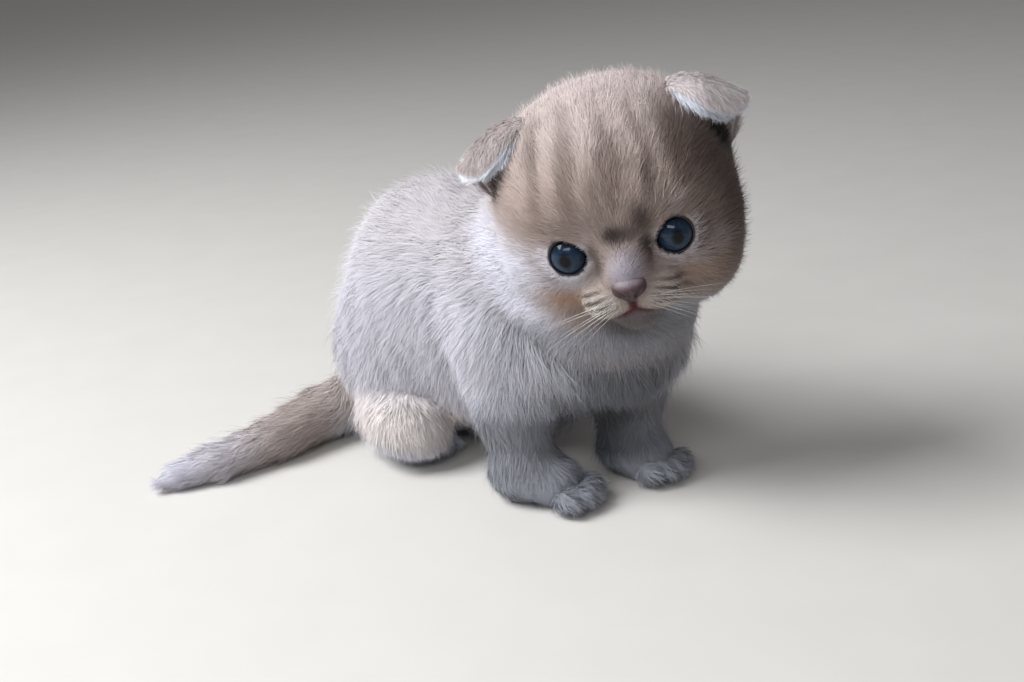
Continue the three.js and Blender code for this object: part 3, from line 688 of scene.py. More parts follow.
# Coat colours, red, green and blue out of 255
COLOURS = {
    "trunk": (206, 204, 213),
    "saddle": (188, 179, 179),
    "chest": (158, 160, 169),
    # painted shade under the chest and between the forelegs
    "chest_low": (92, 93, 99),
    # partly the pale fur of the hind legs, partly painted light on the thigh
    "hind": (230, 222, 220),
    "fore": (146, 147, 155),
    "hind_end": (206, 210, 222),
    "paw": (168, 170, 180),
    "tail": (192, 178, 173),
    "tail_end": (218, 216, 226),
    "crown": (176, 158, 150),
    "crown_pale": (212, 198, 196),
    # dark stripes of the coat, also used for painted shadow beside the nose bridge
    "stripe": (104, 86, 78),
    # dark smudges of the coat, also used for painted shade beside the nose bridge and above the eyes
    "smudge": (52, 42, 39),
    "bridge": (166, 160, 172),
    "under_eye": (226, 224, 234),
    "tan": (188, 144, 108),
    "pad": (204, 198, 192),
    "pad_line": (84, 70, 60),
    "lip": (82, 20, 30),
    "lid": (30, 26, 30),
    # painted shade in the hollows of the ears
    "cup": (30, 20, 19),
    "ear_left": (230, 220, 220),
    "ear_right": (188, 176, 174),
    "ear_rim": (236, 240, 248),
    # painted shade for the far side of the face
    "cheek": (82, 65, 57),
    "ruff": (220, 220, 232),
    # painted shade on the chin, whose fur is paler
    "chin": (104, 99, 100),
}

# Dark and pale marks of the brow: place, size, strength and colour; the first is painted shade on the far
# temple
BROW_MARKS = (
    ((21, -16, 13), (9, 14, 11), 0.85, "cheek"),
    ((9.5, -20, 11.0), (2.6, 9, 5.0), 0.8, "smudge"),
    ((5.4, -24, 3.4), (3.2, 9, 4.4), 0.95, "smudge"),
    ((0.6, -26, 0.6), (4.2, 9, 2.6), 0.8, "smudge"),
    ((-1.4, -26, 0.6), (2.6, 9, 2.6), 0.9, "smudge"),
    ((5.2, -26, -2.4), (2.2, 9, 2.8), 0.95, "smudge"),
    ((-3.4, -20, 10.0), (2.0, 9, 6.5), 0.65, "stripe"),
    ((14.8, -20, 5.6), (2.8, 9, 2.6), 0.6, "crown_pale"),
    ((-6.8, -23, 1.6), (2.2, 9, 2.8), 0.6, "crown_pale"))
BROW_HARD = 1.7

# Marks of both sides of the face: place on the left, size, hardness, strength right and left, colour; the
# first is painted shade above the eyes
FACE_MARKS = (
    ((14, -22, 4.8), (6, 8, 1.4), 1.0, 0.4, 0.4, "smudge"),
    ((20.5, -17, -7.5), (5.0, 9, 3.0), 1.0, 0.5, 0.2, "under_eye"),
    ((14.5, -20, -13.2), (8, 9, 3.8), 1.0, 0.85, 0.35, "tan"),
    ((13, -20, -18.2), (6, 9, 1.5), 1.0, 0.5, 0.5, "stripe"),
    ((12.6, -22, -9.4), (6.5, 8, 2.3), 1.0, 0.9, 0.36, "under_eye"),
    ((7.5, -31, -15.0), (5.8, 9, 3.8), 1.4, 0.9, 0.6, "pad"))

# Marks with a place, size and hardness of their own, and the rows of dots on the whisker pads
# CHEEK_SHADE is painted shade on the far side of the face
CHEEK_SHADE = ((31, -12, -3), (17, 20, 27), 1.6)
BRIDGE_MARK = ((0, -31, -6.6), (4.6, 9, 4.6), 1.6)
# Painted shadow down each side of the nose bridge
BRIDGE_SIDE_SHADOW = ((5.9, -27, -5.0), (1.5, 8, 3.8))
CORNER_MARK = ((7.2, -25, -2.0), (1.6, 8, 2.2))
PAD_LINES = ((9.0, -28, -15.0), (5.8, 9, 4.4), 2)
PAD_ROW = 1.6
PAD_SLOPE = 0.30
STRIPE_PITCH = 9.0
STRIPE_SWAY = 1.6


def spot(q, at, size, hard=1.0):
    """A soft round mark, 1 in its middle and near 0 past its size."""
    d = (q - at) / size
    return np.exp(-((d * d).sum(1)) ** hard * 1.4)


def body_marks(p, weights, lay):
    """The warm saddle, painted shade on the underside between the forelegs, and the pale ends of tail and
    feet.
    """
    x, y, z = p.T
    lay(weights["trunk"] * smooth(56, 76, z) * 0.6, "saddle")
    lay(weights["tail"] * smooth(-46, -84, x), "tail_end")
    lay(weights["chest"] * smooth(10, 22, np.abs(x - 2)) * smooth(26, 42, z) * 0.9, "trunk")
    # Painted shade under the chest and between the forelegs
    under = (weights["chest"] + weights["fore"]) * smooth(60, 34, z) * smooth(17, 8, np.abs(x))
    lay(under * 0.85, "chest_low")
    lay(weights["hind"] * smooth(40, 50, y), "tail")
    lay(smooth(10, 16, y) * smooth(16, 7, z) * (weights["hind"] + weights["paw"]), "hind_end")


def crown_marks(q, head, lay):
    """The pale crown with its stripes, the ruff, the throat and painted shade on the far side of the
    face.
    """
    x, y, z = q.T
    side = np.abs(x)
    front = head * smooth(4, -12, y)
    lay(head * smooth(10, 32, z) * 0.75, "crown_pale")
    lay(head * smooth(-14, -26, x) * smooth(6, -6, z) * 0.9, "ruff")
    lay(head * smooth(-20, -27, z) * 0.9, "chest")
    lay(head * smooth(-6, -24, z) * smooth(-14, 2, y) * smooth(-6, 6, x) * 0.8, "chest")
    lay(head * smooth(6, 28, y) * 0.85, "saddle")
    wave = (side + STRIPE_SWAY * ripples(q, 22, 31, 5)) * 2 * np.pi / STRIPE_PITCH
    stripes = smooth(-0.2, 0.9, np.cos(wave + 0.5))
    level = smooth(3, 10, z) * smooth(34, 18, z)
    lay(front * stripes * level * smooth(27, 16, side) * 0.62, "stripe")
    lay(front * smooth(-8, -20, y) * smooth(16, 7, z) * smooth(0, 5, z) * 0.2, "stripe")
    # Painted shade on the far side of the face
    lay(head * spot(q, *CHEEK_SHADE) * 0.95, "cheek")


def face_marks(p, q, head, lay):
    """Cheeks, whisker pads with their rows, bridge, brow, painted shade on the chin, lips and painted
    shade in the hollows of the ears.
    """
    side = np.abs(q[:, 0])
    pad_wave = (q[:, 2] + PAD_SLOPE * (side - 6)) * 2 * np.pi / PAD_ROW
    rows = smooth(-0.2, 0.5, np.cos(pad_wave))
    for s in (1, -1):
        for at, size, hard, right, left, name in FACE_MARKS:
            lay(head * spot(q, on_side(s, at), size, hard) * (right if s < 0 else left), name)
        at, size, hard = PAD_LINES
        lay(head * rows * spot(q, on_side(s, at), size, hard), "pad_line")
    lay(head * spot(q, *BRIDGE_MARK) * 0.95, "bridge")
    for at, size, weight, name in BROW_MARKS:
        lay(head * spot(q, at, size, BROW_HARD) * weight, name)
    # Painted shade under the chin
    lay(head * smooth(13, 8, size_of((q - (0, -26, -24)) * (1, 0.8, 1.5))) * 0.9, "chin")
    middle = smooth(5.5, 3.0, side)
    lay(smooth(1.8, 0.95, mouth_distance(p)) * (0.4 + 0.6 * middle), "lip")
    # Painted shade in the hollows of the ears
    lay(smooth(2.4, 0.6, cups(p)), "cup")


def eye_marks(p, q, head, lay, on_skin):
    """Pale fur and dark edges round the eyes, the dark marks at their inner corners, and painted shadow
    down the sides of the nose bridge.
    """
    for s in (1, -1):
        reach = eye_opening(p, s)
        above = smooth(2.5, 4.5, eye_local(p, s)[:, 2])
        lay(smooth(2.2, 1.0, reach) * (0.7 - 0.6 * above) * (0.5 if s > 0 else 1), "under_eye")
        lay(smooth(1.2, 0.5, reach) * above * 0.6, "lid")
        bridge_side_shadow, corner = (spot(q, on_side(s, at), size) for at, size in (BRIDGE_SIDE_SHADOW, CORNER_MARK))
        # Painted shadow down the side of the nose bridge, in the smudge colour on one side and the stripe
        # colour on the other
        lay(head * bridge_side_shadow * 0.9, "smudge" if s > 0 else "stripe")
        lay(head * corner * 0.8, "smudge")
        if on_skin:
            lay(smooth(0.7, 0.3, reach), "lid")


def markings(p, on_skin=False):
    """The coat's colour at each point, in linear light; only the skin has the dark lid edges."""
    weights = regions(p)
    q = in_head(p)
    table = {name: linear(value) for name, value in COLOURS.items()}
    table["face"] = table["jaw"] = table["crown"]
    colour = sum(w[:, None] * table[name] for name, w in weights.items())

    def lay(weight, name):
        nonlocal colour
        weight = np.clip(weight, 0, 1)[:, None]
        colour = colour * (1 - weight) + weight * table[name]

    head = weights["crown"] + weights["face"] + weights["jaw"]
    body_marks(p, weights, lay)
    crown_marks(q, head, lay)
    face_marks(p, q, head, lay)
    eye_marks(p, q, head, lay, on_skin)
    return colour.astype(np.float32)


# Materials

# Short names for the inputs of the surface shader
SURFACE = {
    "roughness": "Roughness",
    "specular": "Specular IOR Level",
    "sheen": "Sheen Weight",
    "sheen_roughness": "Sheen Roughness",
    "wet": "Coat Weight",
    "wet_index": "Coat IOR",
    "wet_roughness": "Coat Roughness",
}


class Nodes:
    """A material's nodes, built one on another."""

    def __init__(self, name):
        self.material = bpy.data.materials.new(name)
        self.material.use_nodes = True
        self.tree = self.material.node_tree
        self.shader = self.tree.nodes["Principled BSDF"]

    def add(self, kind, inputs=None, **settings):
        node = self.tree.nodes.new(kind)
        for key, value in settings.items():
            setattr(node, key, value)
        for key, value in (inputs or {}).items():
            self.put(node.inputs[key], value)
        return node

    def put(self, socket, value):
        if isinstance(value, bpy.types.NodeSocket):
            self.tree.links.new(value, socket)
        else:
            socket.default_value = value

    def attribute(self, name, output="Fac"):
        return self.add("ShaderNodeAttribute", attribute_name=name).outputs[output]

    def math(self, kind, a, b=0.0):
        return self.add("ShaderNodeMath", {0: a, 1: b}, operation=kind).outputs[0]

    def mix(self, factor, a, b, kind="MIX"):
        node = self.add("ShaderNodeMix", data_type="RGBA", blend_type=kind)
        self.put(node.inputs[0], factor)
        self.put(node.inputs[6], a)
        self.put(node.inputs[7], b)
        return node.outputs[2]

    def spread(self, value, low, high, to_low=0.0, to_high=1.0):
        return self.add("ShaderNodeMapRange", {
            "Value": value, "From Min": low, "From Max": high,
            "To Min": to_low, "To Max": to_high}).outputs[0]

    def noise(self, scale, detail=3.0, output="Fac"):
        place = self.add("ShaderNodeTexCoord").outputs["Object"]
        return self.add("ShaderNodeTexNoise", {
            "Vector": place, "Scale": scale, "Detail": detail}).outputs[output]

    def bump(self, height, strength, distance):
        node = self.add("ShaderNodeBump", {
            "Height": height, "Strength": strength, "Distance": distance})
        self.put(self.shader.inputs["Normal"], node.outputs[0])

    def shaded(self, colour, shade):
        """The colour made darker or paler by a number."""
        grey = self.add("ShaderNodeCombineColor", {0: shade, 1: shade, 2: shade}).outputs[0]
        return self.mix(1.0, colour, grey, "MULTIPLY")

    def finish(self, colour, **values):
        """Sets the base colour and plain values of the surface, and gives the material back."""
        self.put(self.shader.inputs["Base Color"], colour)
        for key, value in values.items():
            self.shader.inputs[SURFACE[key]].default_value = value
        return self.material


def coat_material(name, root_shade, tip_shade):
    """Fur whose colour comes from the skin at its root, darker there with painted shade and paler at its
    tip.
    """
    n = Nodes(name)
    along = n.spread(n.attribute("along"), 0.0, 1.0, root_shade, tip_shade)
    varied = n.math("MULTIPLY", along, n.spread(n.attribute("strand"), 0.0, 1.0, 0.91, 1.08))
    grain = n.math("MULTIPLY", varied, n.spread(n.noise(260.0), 0.3, 0.7, 0.96, 1.04))
    colour = n.shaded(n.attribute("coat_colour", "Color"), grain)
    return n.finish(colour, roughness=0.62, specular=0.25, sheen=0.12, sheen_roughness=0.5)


def skin_material():
    """Skin under the coat, with the same markings and the grain of short down."""
    n = Nodes("kitten_skin")
    grain = n.spread(n.noise(900.0, 4.0), 0.3, 0.7, 0.80, 0.92)
    n.bump(n.noise(2200.0, 4.0), 0.35, 0.0004)
    colour = n.shaded(n.attribute("coat_colour", "Color"), grain)
    return n.finish(colour, roughness=0.7, specular=0.2)


def leather_material(name, colour, dark, crest, roughness):
    """Moist nose leather with fine pebbling, greyer where it meets the fur of the bridge."""
    n = Nodes(name)
    place = n.add("ShaderNodeTexCoord").outputs["Object"]
    pebbles = n.add("ShaderNodeTexVoronoi", {"Vector": place, "Scale": 2600.0}).outputs["Distance"]
    n.bump(pebbles, 0.35, 0.0002)
    leather = n.mix(n.spread(n.noise(420.0), 0.35, 0.65), (*dark, 1), (*colour, 1))
    return n.finish(n.mix(n.attribute("crest"), leather, (*crest, 1)), roughness=roughness)


def eye_material():
    """Iris with fibres and a dark rim round an upright pupil, under a wet surface."""
    pupil, rim = (0.0008, 0.0008, 0.001, 1), (0.004, 0.005, 0.008, 1)
    deep, pale, low = (0.006, 0.014, 0.029, 1), (0.018, 0.037, 0.070, 1), (0.042, 0.070, 0.112, 1)
    pupil_wide, pupil_tall = 1.5, 2.15
    spokes = 9.0
    n = Nodes("kitten_eye")
    gaze = n.add("ShaderNodeAttribute", attribute_name="gaze").outputs["Vector"]
    parts = n.add("ShaderNodeSeparateXYZ", {0: gaze})
    x, z = parts.outputs[0], parts.outputs[2]
    reach = n.add("ShaderNodeVectorMath", {0: gaze}, operation="LENGTH").outputs["Value"]
    angle = n.math("ARCTAN2", z, x)
    around = n.add("ShaderNodeCombineXYZ", {
        0: n.math("MULTIPLY", n.math("COSINE", angle), spokes),
        1: n.math("MULTIPLY", n.math("SINE", angle), spokes),
        2: n.math("MULTIPLY", reach, 0.7)}).outputs[0]
    fibres = n.add("ShaderNodeTexNoise", {"Vector": around, "Scale": 1.6, "Detail": 3.0}).outputs["Fac"]
    iris = n.mix(n.spread(fibres, 0.35, 0.68), deep, pale)
    iris = n.mix(n.math("MULTIPLY", n.spread(z, -4.5, 3.0, 1.0, 0.0), 0.45), iris, low)
    iris = n.mix(n.spread(reach, 3.4, 4.8), iris, rim)
    wide, tall = n.math("DIVIDE", x, pupil_wide), n.math("DIVIDE", z, pupil_tall)
    oval = n.math("SQRT", n.math("ADD", n.math("MULTIPLY", wide, wide), n.math("MULTIPLY", tall, tall)))
    colour = n.mix(n.spread(oval, 0.65, 1.35), pupil, iris)
    return n.finish(colour, roughness=0.6, specular=0.0, wet=0.8, wet_index=1.34, wet_roughness=0.02)


def plain_material(name, colour, roughness, grain=0.06, scale=600.0):
    """One colour, a little uneven."""
    n = Nodes(name)
    low = tuple(c * (1 - grain) for c in colour)
    high = tuple(min(1, c * (1 + grain)) for c in colour)
    uneven = n.mix(n.spread(n.noise(scale), 0.3, 0.7), (*low, 1), (*high, 1))
    return n.finish(uneven, roughness=roughness)


# Coat

def lie_of(p, normal, weights):
    """Where the coat points at each root: along the skin, from nose to tail and down the legs."""
    q = in_head(p)
    from_nose = q - NOSE_WHORL
    from_nose = from_nose / np.maximum(size_of(from_nose), 1e-3)[:, None]
    from_nose[:, 2] -= 0.35 * smooth(8, -14, q[:, 2])
    from_nose = from_nose @ HEAD_TURNED.T
    back = smooth(40, 78, p[:, 2])[:, None]
    one = np.ones(len(p))
    down = np.stack([0.06 * np.sign(p[:, 0]), 0.35 * one, -one], 1)
    flows = {
        "trunk": back * np.array((0, 1, -0.2)) + (1 - back) * down,
        "chest": np.stack([0.02 * p[:, 0], -0.25 * one, -one], 1),
        "hind": np.array((0, -0.3, -1)),
        "fore": np.array((0, -0.15, -1)),
        "paw": np.stack([0.05 * one, -one, -0.9 * smooth(1.0, 7, p[:, 2])], 1),
        "tail": np.array((-1, -0.05, -0.05)),
        "tail_end": np.array((-1, 0.15, -0.05)),
        "crown": from_nose,
        "face": from_nose,
        "jaw": from_nose,
    }
    flow = sum(w[:, None] * flows[name] for name, w in weights.items())
    flow = flow - (flow * normal).sum(1)[:, None] * normal
    length = size_of(flow)[:, None]
    spare = np.cross(normal, (0.3, 0.2, 0.9))
    return np.where(
        length > LEAST_FLOW, flow / np.maximum(length, LEAST_FLOW), spare / size_of(spare)[:, None])


def ripples(p, wavelength, seed, count=7):
    """A smooth random value about 0 at each point, with waves of about this length."""
    rng = np.random.default_rng(seed)
    total = np.zeros(len(p))
    for _ in range(count):
        way = rng.normal(size=3)
        way *= 2 * np.pi / (wavelength * size_of(way) * rng.uniform(0.7, 1.4))
        total += np.sin(p @ way + rng.uniform(0, 2 * np.pi))
    return total / math.sqrt(count)


def blades(root, normal, lie, length, height, width, rows, rng, bend):
    """Points of tapering curved blades, two for each row and one at the tip, and how far along."""
    count = len(root)
    side = np.cross(normal, lie)
    roll = rng.normal(0, TUFT_ROLL, count)
    curl = rng.normal(0, TUFT_CURL, count) + TUFT_CURL_DRIFT * ripples(root, 7, 11)
    across = side * np.cos(roll)[:, None] + normal * np.sin(roll)[:, None]
    points = np.empty((count, 2 * rows + 1, 3), np.float32)
    along = np.empty((count, 2 * rows + 1), np.float32)
    for n, u in enumerate(np.linspace(0, 1, rows + 1)):
        middle = (
            root + lie * (length * u)[:, None]
            + normal * (height * (1 - (1 - u) ** 2) - TUFT_SINK * (1 - u))[:, None]
            + side * (curl * length * u * u)[:, None] + bend * (u * u))
        reach = across * (0.5 * width * (1 - u ** TUFT_TAPER) * (0.75 + 0.5 * u))[:, None]
        along[:, 2 * n:2 * n + 2] = u
        points[:, 2 * n] = middle - reach
        if n < rows:
            points[:, 2 * n + 1] = middle + reach
    points[:, :, 2] = np.maximum(points[:, :, 2], COAT_FLOOR)
    return points, along, side


def blade_mesh(name, points, rows):
    """A mesh of blades, each with a quad for each row and a triangle at its tip."""
    count, per = points.shape[:2]
    corners = []
    for n in range(rows - 1):
        corners += [2 * n + 1, 2 * n, 2 * n + 2, 2 * n + 3]
    corners += [2 * rows - 1, 2 * rows - 2, 2 * rows]
    loops = np.array(corners)[None] + (np.arange(count) * per)[:, None]
    starts = np.arange(0, 4 * rows, 4)[None] + (np.arange(count) * len(corners))[:, None]
    mesh = bpy.data.meshes.new(name)
    mesh.vertices.add(count * per)
    mesh.vertices.foreach_set("co", to_frame(points.reshape(-1, 3)).astype(np.float32).ravel())
    mesh.loops.add(loops.size)
    mesh.loops.foreach_set("vertex_index", loops.astype(np.int32).ravel())
    mesh.polygons.add(count * rows)
    mesh.polygons.foreach_set("loop_start", starts.astype(np.int32).ravel())
    mesh.polygons.foreach_set("use_smooth", np.ones(count * rows, bool))
    mesh.update()
    return mesh, loops


def tufts(name, root, normal, lie, length, height, width, colour, rows, spread, rng, material, slot,
          bend=0.0):
    """One coat piece: a tapering curved blade of fur at every root; bend is added at its tip."""
    points, along, side = blades(root, normal, lie, length, height, width, rows, rng, bend)
    mesh, loops = blade_mesh(name, points, rows)
    count, per = points.shape[:2]
    set_colours(mesh, "coat_colour", np.repeat(colour, per, axis=0))
    set_floats(mesh, "along", along.ravel())
    set_floats(mesh, "strand", np.repeat(rng.random(count), per))
    patch = mesh.uv_layers.new(name="OFBake")
    across = np.tile([-0.5, 0.5], rows).tolist() + [0.0]
    offset = np.stack([np.tile(across, (count, 1)), along - 0.5], -1) * PATCH_SIZE
    uv = (spread[:, None, :] + offset).reshape(-1, 2)
    patch.data.foreach_set("uv", uv[loops.ravel()].astype(np.float32).ravel())
    own = normal + NORMAL_SWAY * side * rng.normal(size=count)[:, None]
    own = np.repeat(own / size_of(own)[:, None], per, axis=0)
    mesh.normals_split_custom_set_from_vertices(own.astype(np.float32))
    made = bpy.data.objects.new(name, mesh)
    bpy.context.scene.collection.objects.link(made)
    return dress(made, material, slot)


# Each region's own unwrap: round an axis through a middle point, along it between two ends
UNWRAPS = {
    "trunk": ((-2, 20, 42), (0, 1, 0), (-62, 80)),
    "head": ((4.4, -44.5, 86), (0, 0, 1), (-42, 38)),
    "legs": ((0, 0, 15), (0, 0, 1), (-16, 36)),
    "tail": ((-50, 59, 8), (1, 0, 0), (-46, 32)),
}
UNWRAP_MARGIN = 0.004


def unwrapped(p, region):
    """Where each point lies in its region's unwrap, between 0 and 1 both ways."""
    middle, axis, (low, high) = UNWRAPS[region]
    d = p - np.array(middle)
    main = int(np.argmax(axis))
    u, v = [n for n in range(3) if n != main]
    around = np.arctan2(d[:, u], d[:, v]) / (2 * np.pi) + 0.5
    length = (d[:, main] - low) / (high - low)
    return np.clip(np.stack([around, length], 1), UNWRAP_MARGIN, 1 - UNWRAP_MARGIN)


def coat_room(p, normal):
    """Share of tufts to keep: none on eyes, nose leather, lips and in the ear's cup."""
    keep = smooth(*NOSE_BARE, nose_distance(p)) * smooth(*MOUTH_BARE, mouth_distance(p))
    keep = keep * smooth(*CUP_BARE, cups(p))
    for side in (1, -1):
        keep = keep * smooth(*EYE_BARE, eye_opening(p, side))
    hidden = smooth(-0.75, -0.95, normal[:, 2]) * smooth(24, 14, p[:, 2])
    return keep * (1 - 0.7 * hidden) * smooth(0.2, 0.8, p[:, 2])


def skin_arrays(skin):
    """The skin's points in the kitten's frame, its normals and its triangles."""
    mesh = skin.data
    points = np.empty(len(mesh.vertices) * 3, np.float32)
    mesh.vertices.foreach_get("co", points)
    normals = np.empty(len(mesh.vertices) * 3, np.float32)
    mesh.vertices.foreach_get("normal", normals)
    mesh.calc_loop_triangles()
    faces = np.empty(len(mesh.loop_triangles) * 3, np.int32)
    mesh.loop_triangles.foreach_get("vertices", faces)
    return from_frame(points.reshape(-1, 3)), normals.reshape(-1, 3), faces.reshape(-1, 3)


def scattered(skin, count, rng):
    """Roots spread over the skin by the density of each region, and the normal at each."""
    points, normals, faces = skin_arrays(skin)
    a, b, c = (points[faces[:, n]] for n in range(3))
    area = size_of(np.cross(b - a, c - a)) / 2
    middle = (a + b + c) / 3
    thick = area * trait(regions(middle), TUFT_DENSITY) * coat_room(middle, normals[faces[:, 0]])
    reach = np.cumsum(thick)
    count = int(min(count, reach[-1]))
    chosen = np.searchsorted(reach, (np.arange(count) + rng.random(count)) / count * reach[-1])
    chosen = np.minimum(chosen, len(faces) - 1)
    u, v = rng.random(count), rng.random(count)
    flip = u + v > 1
    u[flip], v[flip] = 1 - u[flip], 1 - v[flip]
    shares = [share[:, None] for share in (1 - u - v, u, v)]
    root = sum(corner[chosen] * share for corner, share in zip((a, b, c), shares))
    normal = sum(normals[faces[chosen, n]] * share for n, share in enumerate(shares))
    return root, normal / size_of(normal)[:, None]


def grow_coat(skin, count, seed, material):
    """Sets tufts all over the skin, in pieces for the head, trunk, legs and tail."""
    rng = np.random.default_rng(seed)
    root, normal = scattered(skin, count, rng)
    count = len(root)
    weights = regions(root)
    lie = lie_of(root, normal, weights)
    side = np.cross(normal, lie)
    calm = 1 - 0.75 * (weights["tail"] + weights["tail_end"])
    locks = SWAY_LOCKS * ripples(root, 18, 3) + SWAY_TUFTS * ripples(root, 6, 4)
    sway = calm * locks + rng.normal(0, SWAY_STRAY, count)
    lie = lie * np.cos(sway)[:, None] + side * np.sin(sway)[:, None]
    length = trait(weights, TUFT_LENGTH) * rng.uniform(*LENGTH_RANGE, count)
    lift = LIFT_MEAN + LIFT_LOCKS * ripples(root, 9, 5) + rng.normal(0, LIFT_STRAY, count)
    lift = np.clip(lift, *LIFT_RANGE)
    stray = (rng.random(count) < STRAY_SHARE) & (length > STRAY_LENGTH)
    lift = np.where(stray, lift * rng.uniform(*STRAY_LIFT, count), lift)
    near_nose = smooth(*NOSE_NEAR, nose_distance(root))
    near_eye = smooth(*EYE_NEAR, np.minimum(*both(lambda s: eye_opening(root, s))))
    near_mouth = smooth(*MOUTH_NEAR, mouth_distance(root))
    length = length * (1 - NOSE_SHORTER * near_nose) * (1 - EYE_SHORTER * near_eye)
    length = length * (1 - MOUTH_SHORTER * near_mouth)
    height = trait(weights, COAT_DEPTH) * lift * (1 - EYE_FLATTER * near_eye)
    width = trait(weights, TUFT_WIDTH) * rng.uniform(*WIDTH_RANGE, count)
    width = width * np.where(stray, STRAY_WIDTH, 1)
    colour = markings(root)
    short = length < SHORT_LENGTH
    for region, chosen in coat_parts(weights).items():
        for kind, rows, fine in (("down", 2, True), ("fur", 3, False)):
            here = np.nonzero(chosen & (short == fine))[0]
            pieces = max(1, math.ceil(len(here) / (MOST_TRIANGLES // (2 * rows - 1))))
            for part, ids in enumerate(np.array_split(here, pieces)):
                if not len(ids):
                    continue
                tufts(
                    f"coat_{region}_{kind}_{part + 1}", root[ids], normal[ids], lie[ids], length[ids],
                    height[ids], width[ids], colour[ids], rows, unwrapped(root[ids], region), rng,
                    material, "coat")


def coat_parts(weights):
    """Which roots belong to the head, tail, legs and trunk."""
    head = (weights["crown"] + weights["face"] + weights["jaw"]) > 0.5
    tail = (weights["tail"] + weights["tail_end"] > 0.5) & ~head
    legs = ((weights["paw"] + weights["fore"] + weights["hind"]) > 0.5) & ~head & ~tail
    return {"head": head, "tail": tail, "legs": legs, "trunk": ~(head | tail | legs)}


# Ears

def bend_through(points, s):
    """A smooth curve through three points, at s from 0 to 1."""
    a, b, c = (np.array(p, float) for p in points)
    control = 2 * b - 0.5 * a - 0.5 * c
    s = np.asarray(s)[..., None]
    return (1 - s) ** 2 * a + 2 * s * (1 - s) * control + s * s * c


def ear_surface(side, s, t):
    """Middle of an ear's thickness: s across from the inner end, t from the root to the rim."""
    lift = np.array((0, 0, side * EAR_LIFT))
    root, fold, rim = (
        bend_through(line, s) * (side, 1, 1) + lift for line in (EAR_ROOT, EAR_FOLD, EAR_RIM))
    control = 2 * fold - 0.5 * root - 0.5 * rim
    corner = fold + EAR_FOLD_SHARP * (control - fold)
    inner, outer = (np.maximum(0, 1 - e / EAR_ROUND_SHARE) ** 2 for e in (s, 1 - s))
    t = (np.asarray(t) * (1 - EAR_ROUND[0] * inner - EAR_ROUND[1] * outer))[..., None]
    place = (1 - t) ** 2 * root + 2 * t * (1 - t) * corner + t * t * rim
    return place * (1 - EAR_SINK * inner[..., None] / size_of(place)[..., None])


def ear_frame(side, s, t, reach=0.01):
    """Place, outward normal and direction towards the rim on the ear's furry side."""
    low_s, high_s = np.clip(s - reach, 0, 1), np.clip(s + reach, 0, 1)
    low_t, high_t = np.clip(t - reach, 0, 1), np.clip(t + reach, 0, 1)
    across = ear_surface(side, high_s, t) - ear_surface(side, low_s, t)
    along = ear_surface(side, s, high_t) - ear_surface(side, s, low_t)
    normal = np.cross(along, across) * side
    normal, along = (v / np.maximum(size_of(v), 1e-9)[..., None] for v in (normal, along))
    return ear_surface(side, s, t), normal, along


# Bands of an ear's fur: hairs, low and high t, how far t and s run along a hair, height, face, paleness
EAR_BANDS = (
    (10000, 0.0, 0.86, 0.22, 0.08, 1.6, 1, 0.0),
    (5200, 0.70, 1.0, 0.05, 0.34, 0.9, 1, 1.0),
    (2000, 0.90, 1.0, 0.10, 0.12, 0.3, -1, 1.0),
    (1000, 0.45, 0.95, 0.20, 0.05, 1.2, -1, 0.35))
EAR_OVERLAP = 3600
EAR_SEED = 20
EAR_TUFT_WIDTH = 0.15
EAR_SWAY = 0.17
EAR_FUR_ROOT = 0.55
RIM_HAIR_REACH = 14


# Settings

class KittenCoatSettings(bpy.types.PropertyGroup):
    tufts: bpy.props.IntProperty(
        name="Tufts", description="Most tufts over the skin", default=360000, min=1000)
    seed: bpy.props.IntProperty(
        name="Seed", description="Seed of every random draw of the coat", default=7)
    # The darker root is painted shade where the tufts cover each other
    root_shade: bpy.props.FloatProperty(
        name="Root shade", description="Brightness of a tuft at its root", default=0.86,
        subtype="FACTOR", min=0, max=2)
    tip_shade: bpy.props.FloatProperty(
        name="Tip shade", description="Brightness of a tuft at its tip", default=1.06,
        subtype="FACTOR", min=0, max=2)
    whisker: bpy.props.FloatProperty(
        name="Whisker radius", description="Radius of a whisker at its root", default=0.000035,
        unit="LENGTH")


class KittenStageSettings(bpy.types.PropertyGroup):
    floor: bpy.props.FloatVectorProperty(
        name="Floor", description="Colour of the floor", default=(0.60, 0.58, 0.55), size=3,
        subtype="COLOR")
    key_power: bpy.props.FloatProperty(
        name="Window light", description="Power of the large soft light", default=12.5, unit="POWER")
    front_power: bpy.props.FloatProperty(
        name="Front light", description="Power of the small light above the camera", default=1.5,
        unit="POWER")
    sky: bpy.props.FloatProperty(
        name="Sky", description="Strength of the even light of the room", default=0.21, min=0)


# Pieces

class KITTEN_OT_skin(bpy.types.Operator):
    """Lay the seamless skin of the head, trunk, legs and tail"""

    bl_idname = "kitten.skin"
    bl_label = "Skin"

    def execute(self, context):
        points, quads = lay_surface(skin_form, [spaced(*stops) for stops in SKIN_GRID])
        made = new_mesh("kitten_skin", to_frame(points), quads)
        set_colours(made.data, "coat_colour", markings(points, on_skin=True))
        dress(made, skin_material(), "coat", FLESH_NODES)
        return {"FINISHED"}


class KITTEN_OT_coat(bpy.types.Operator):
    """Grow the coat of tufts over the skin"""

    bl_idname = "kitten.coat"
    bl_label = "Coat"

    def execute(self, context):
        settings = context.scene.kitten_coat
        count = settings.tufts // 1
        material = coat_material("kitten_coat", settings.root_shade, settings.tip_shade)
        grow_coat(bpy.data.objects["kitten_skin"], count, settings.seed, material)
        return {"FINISHED"}


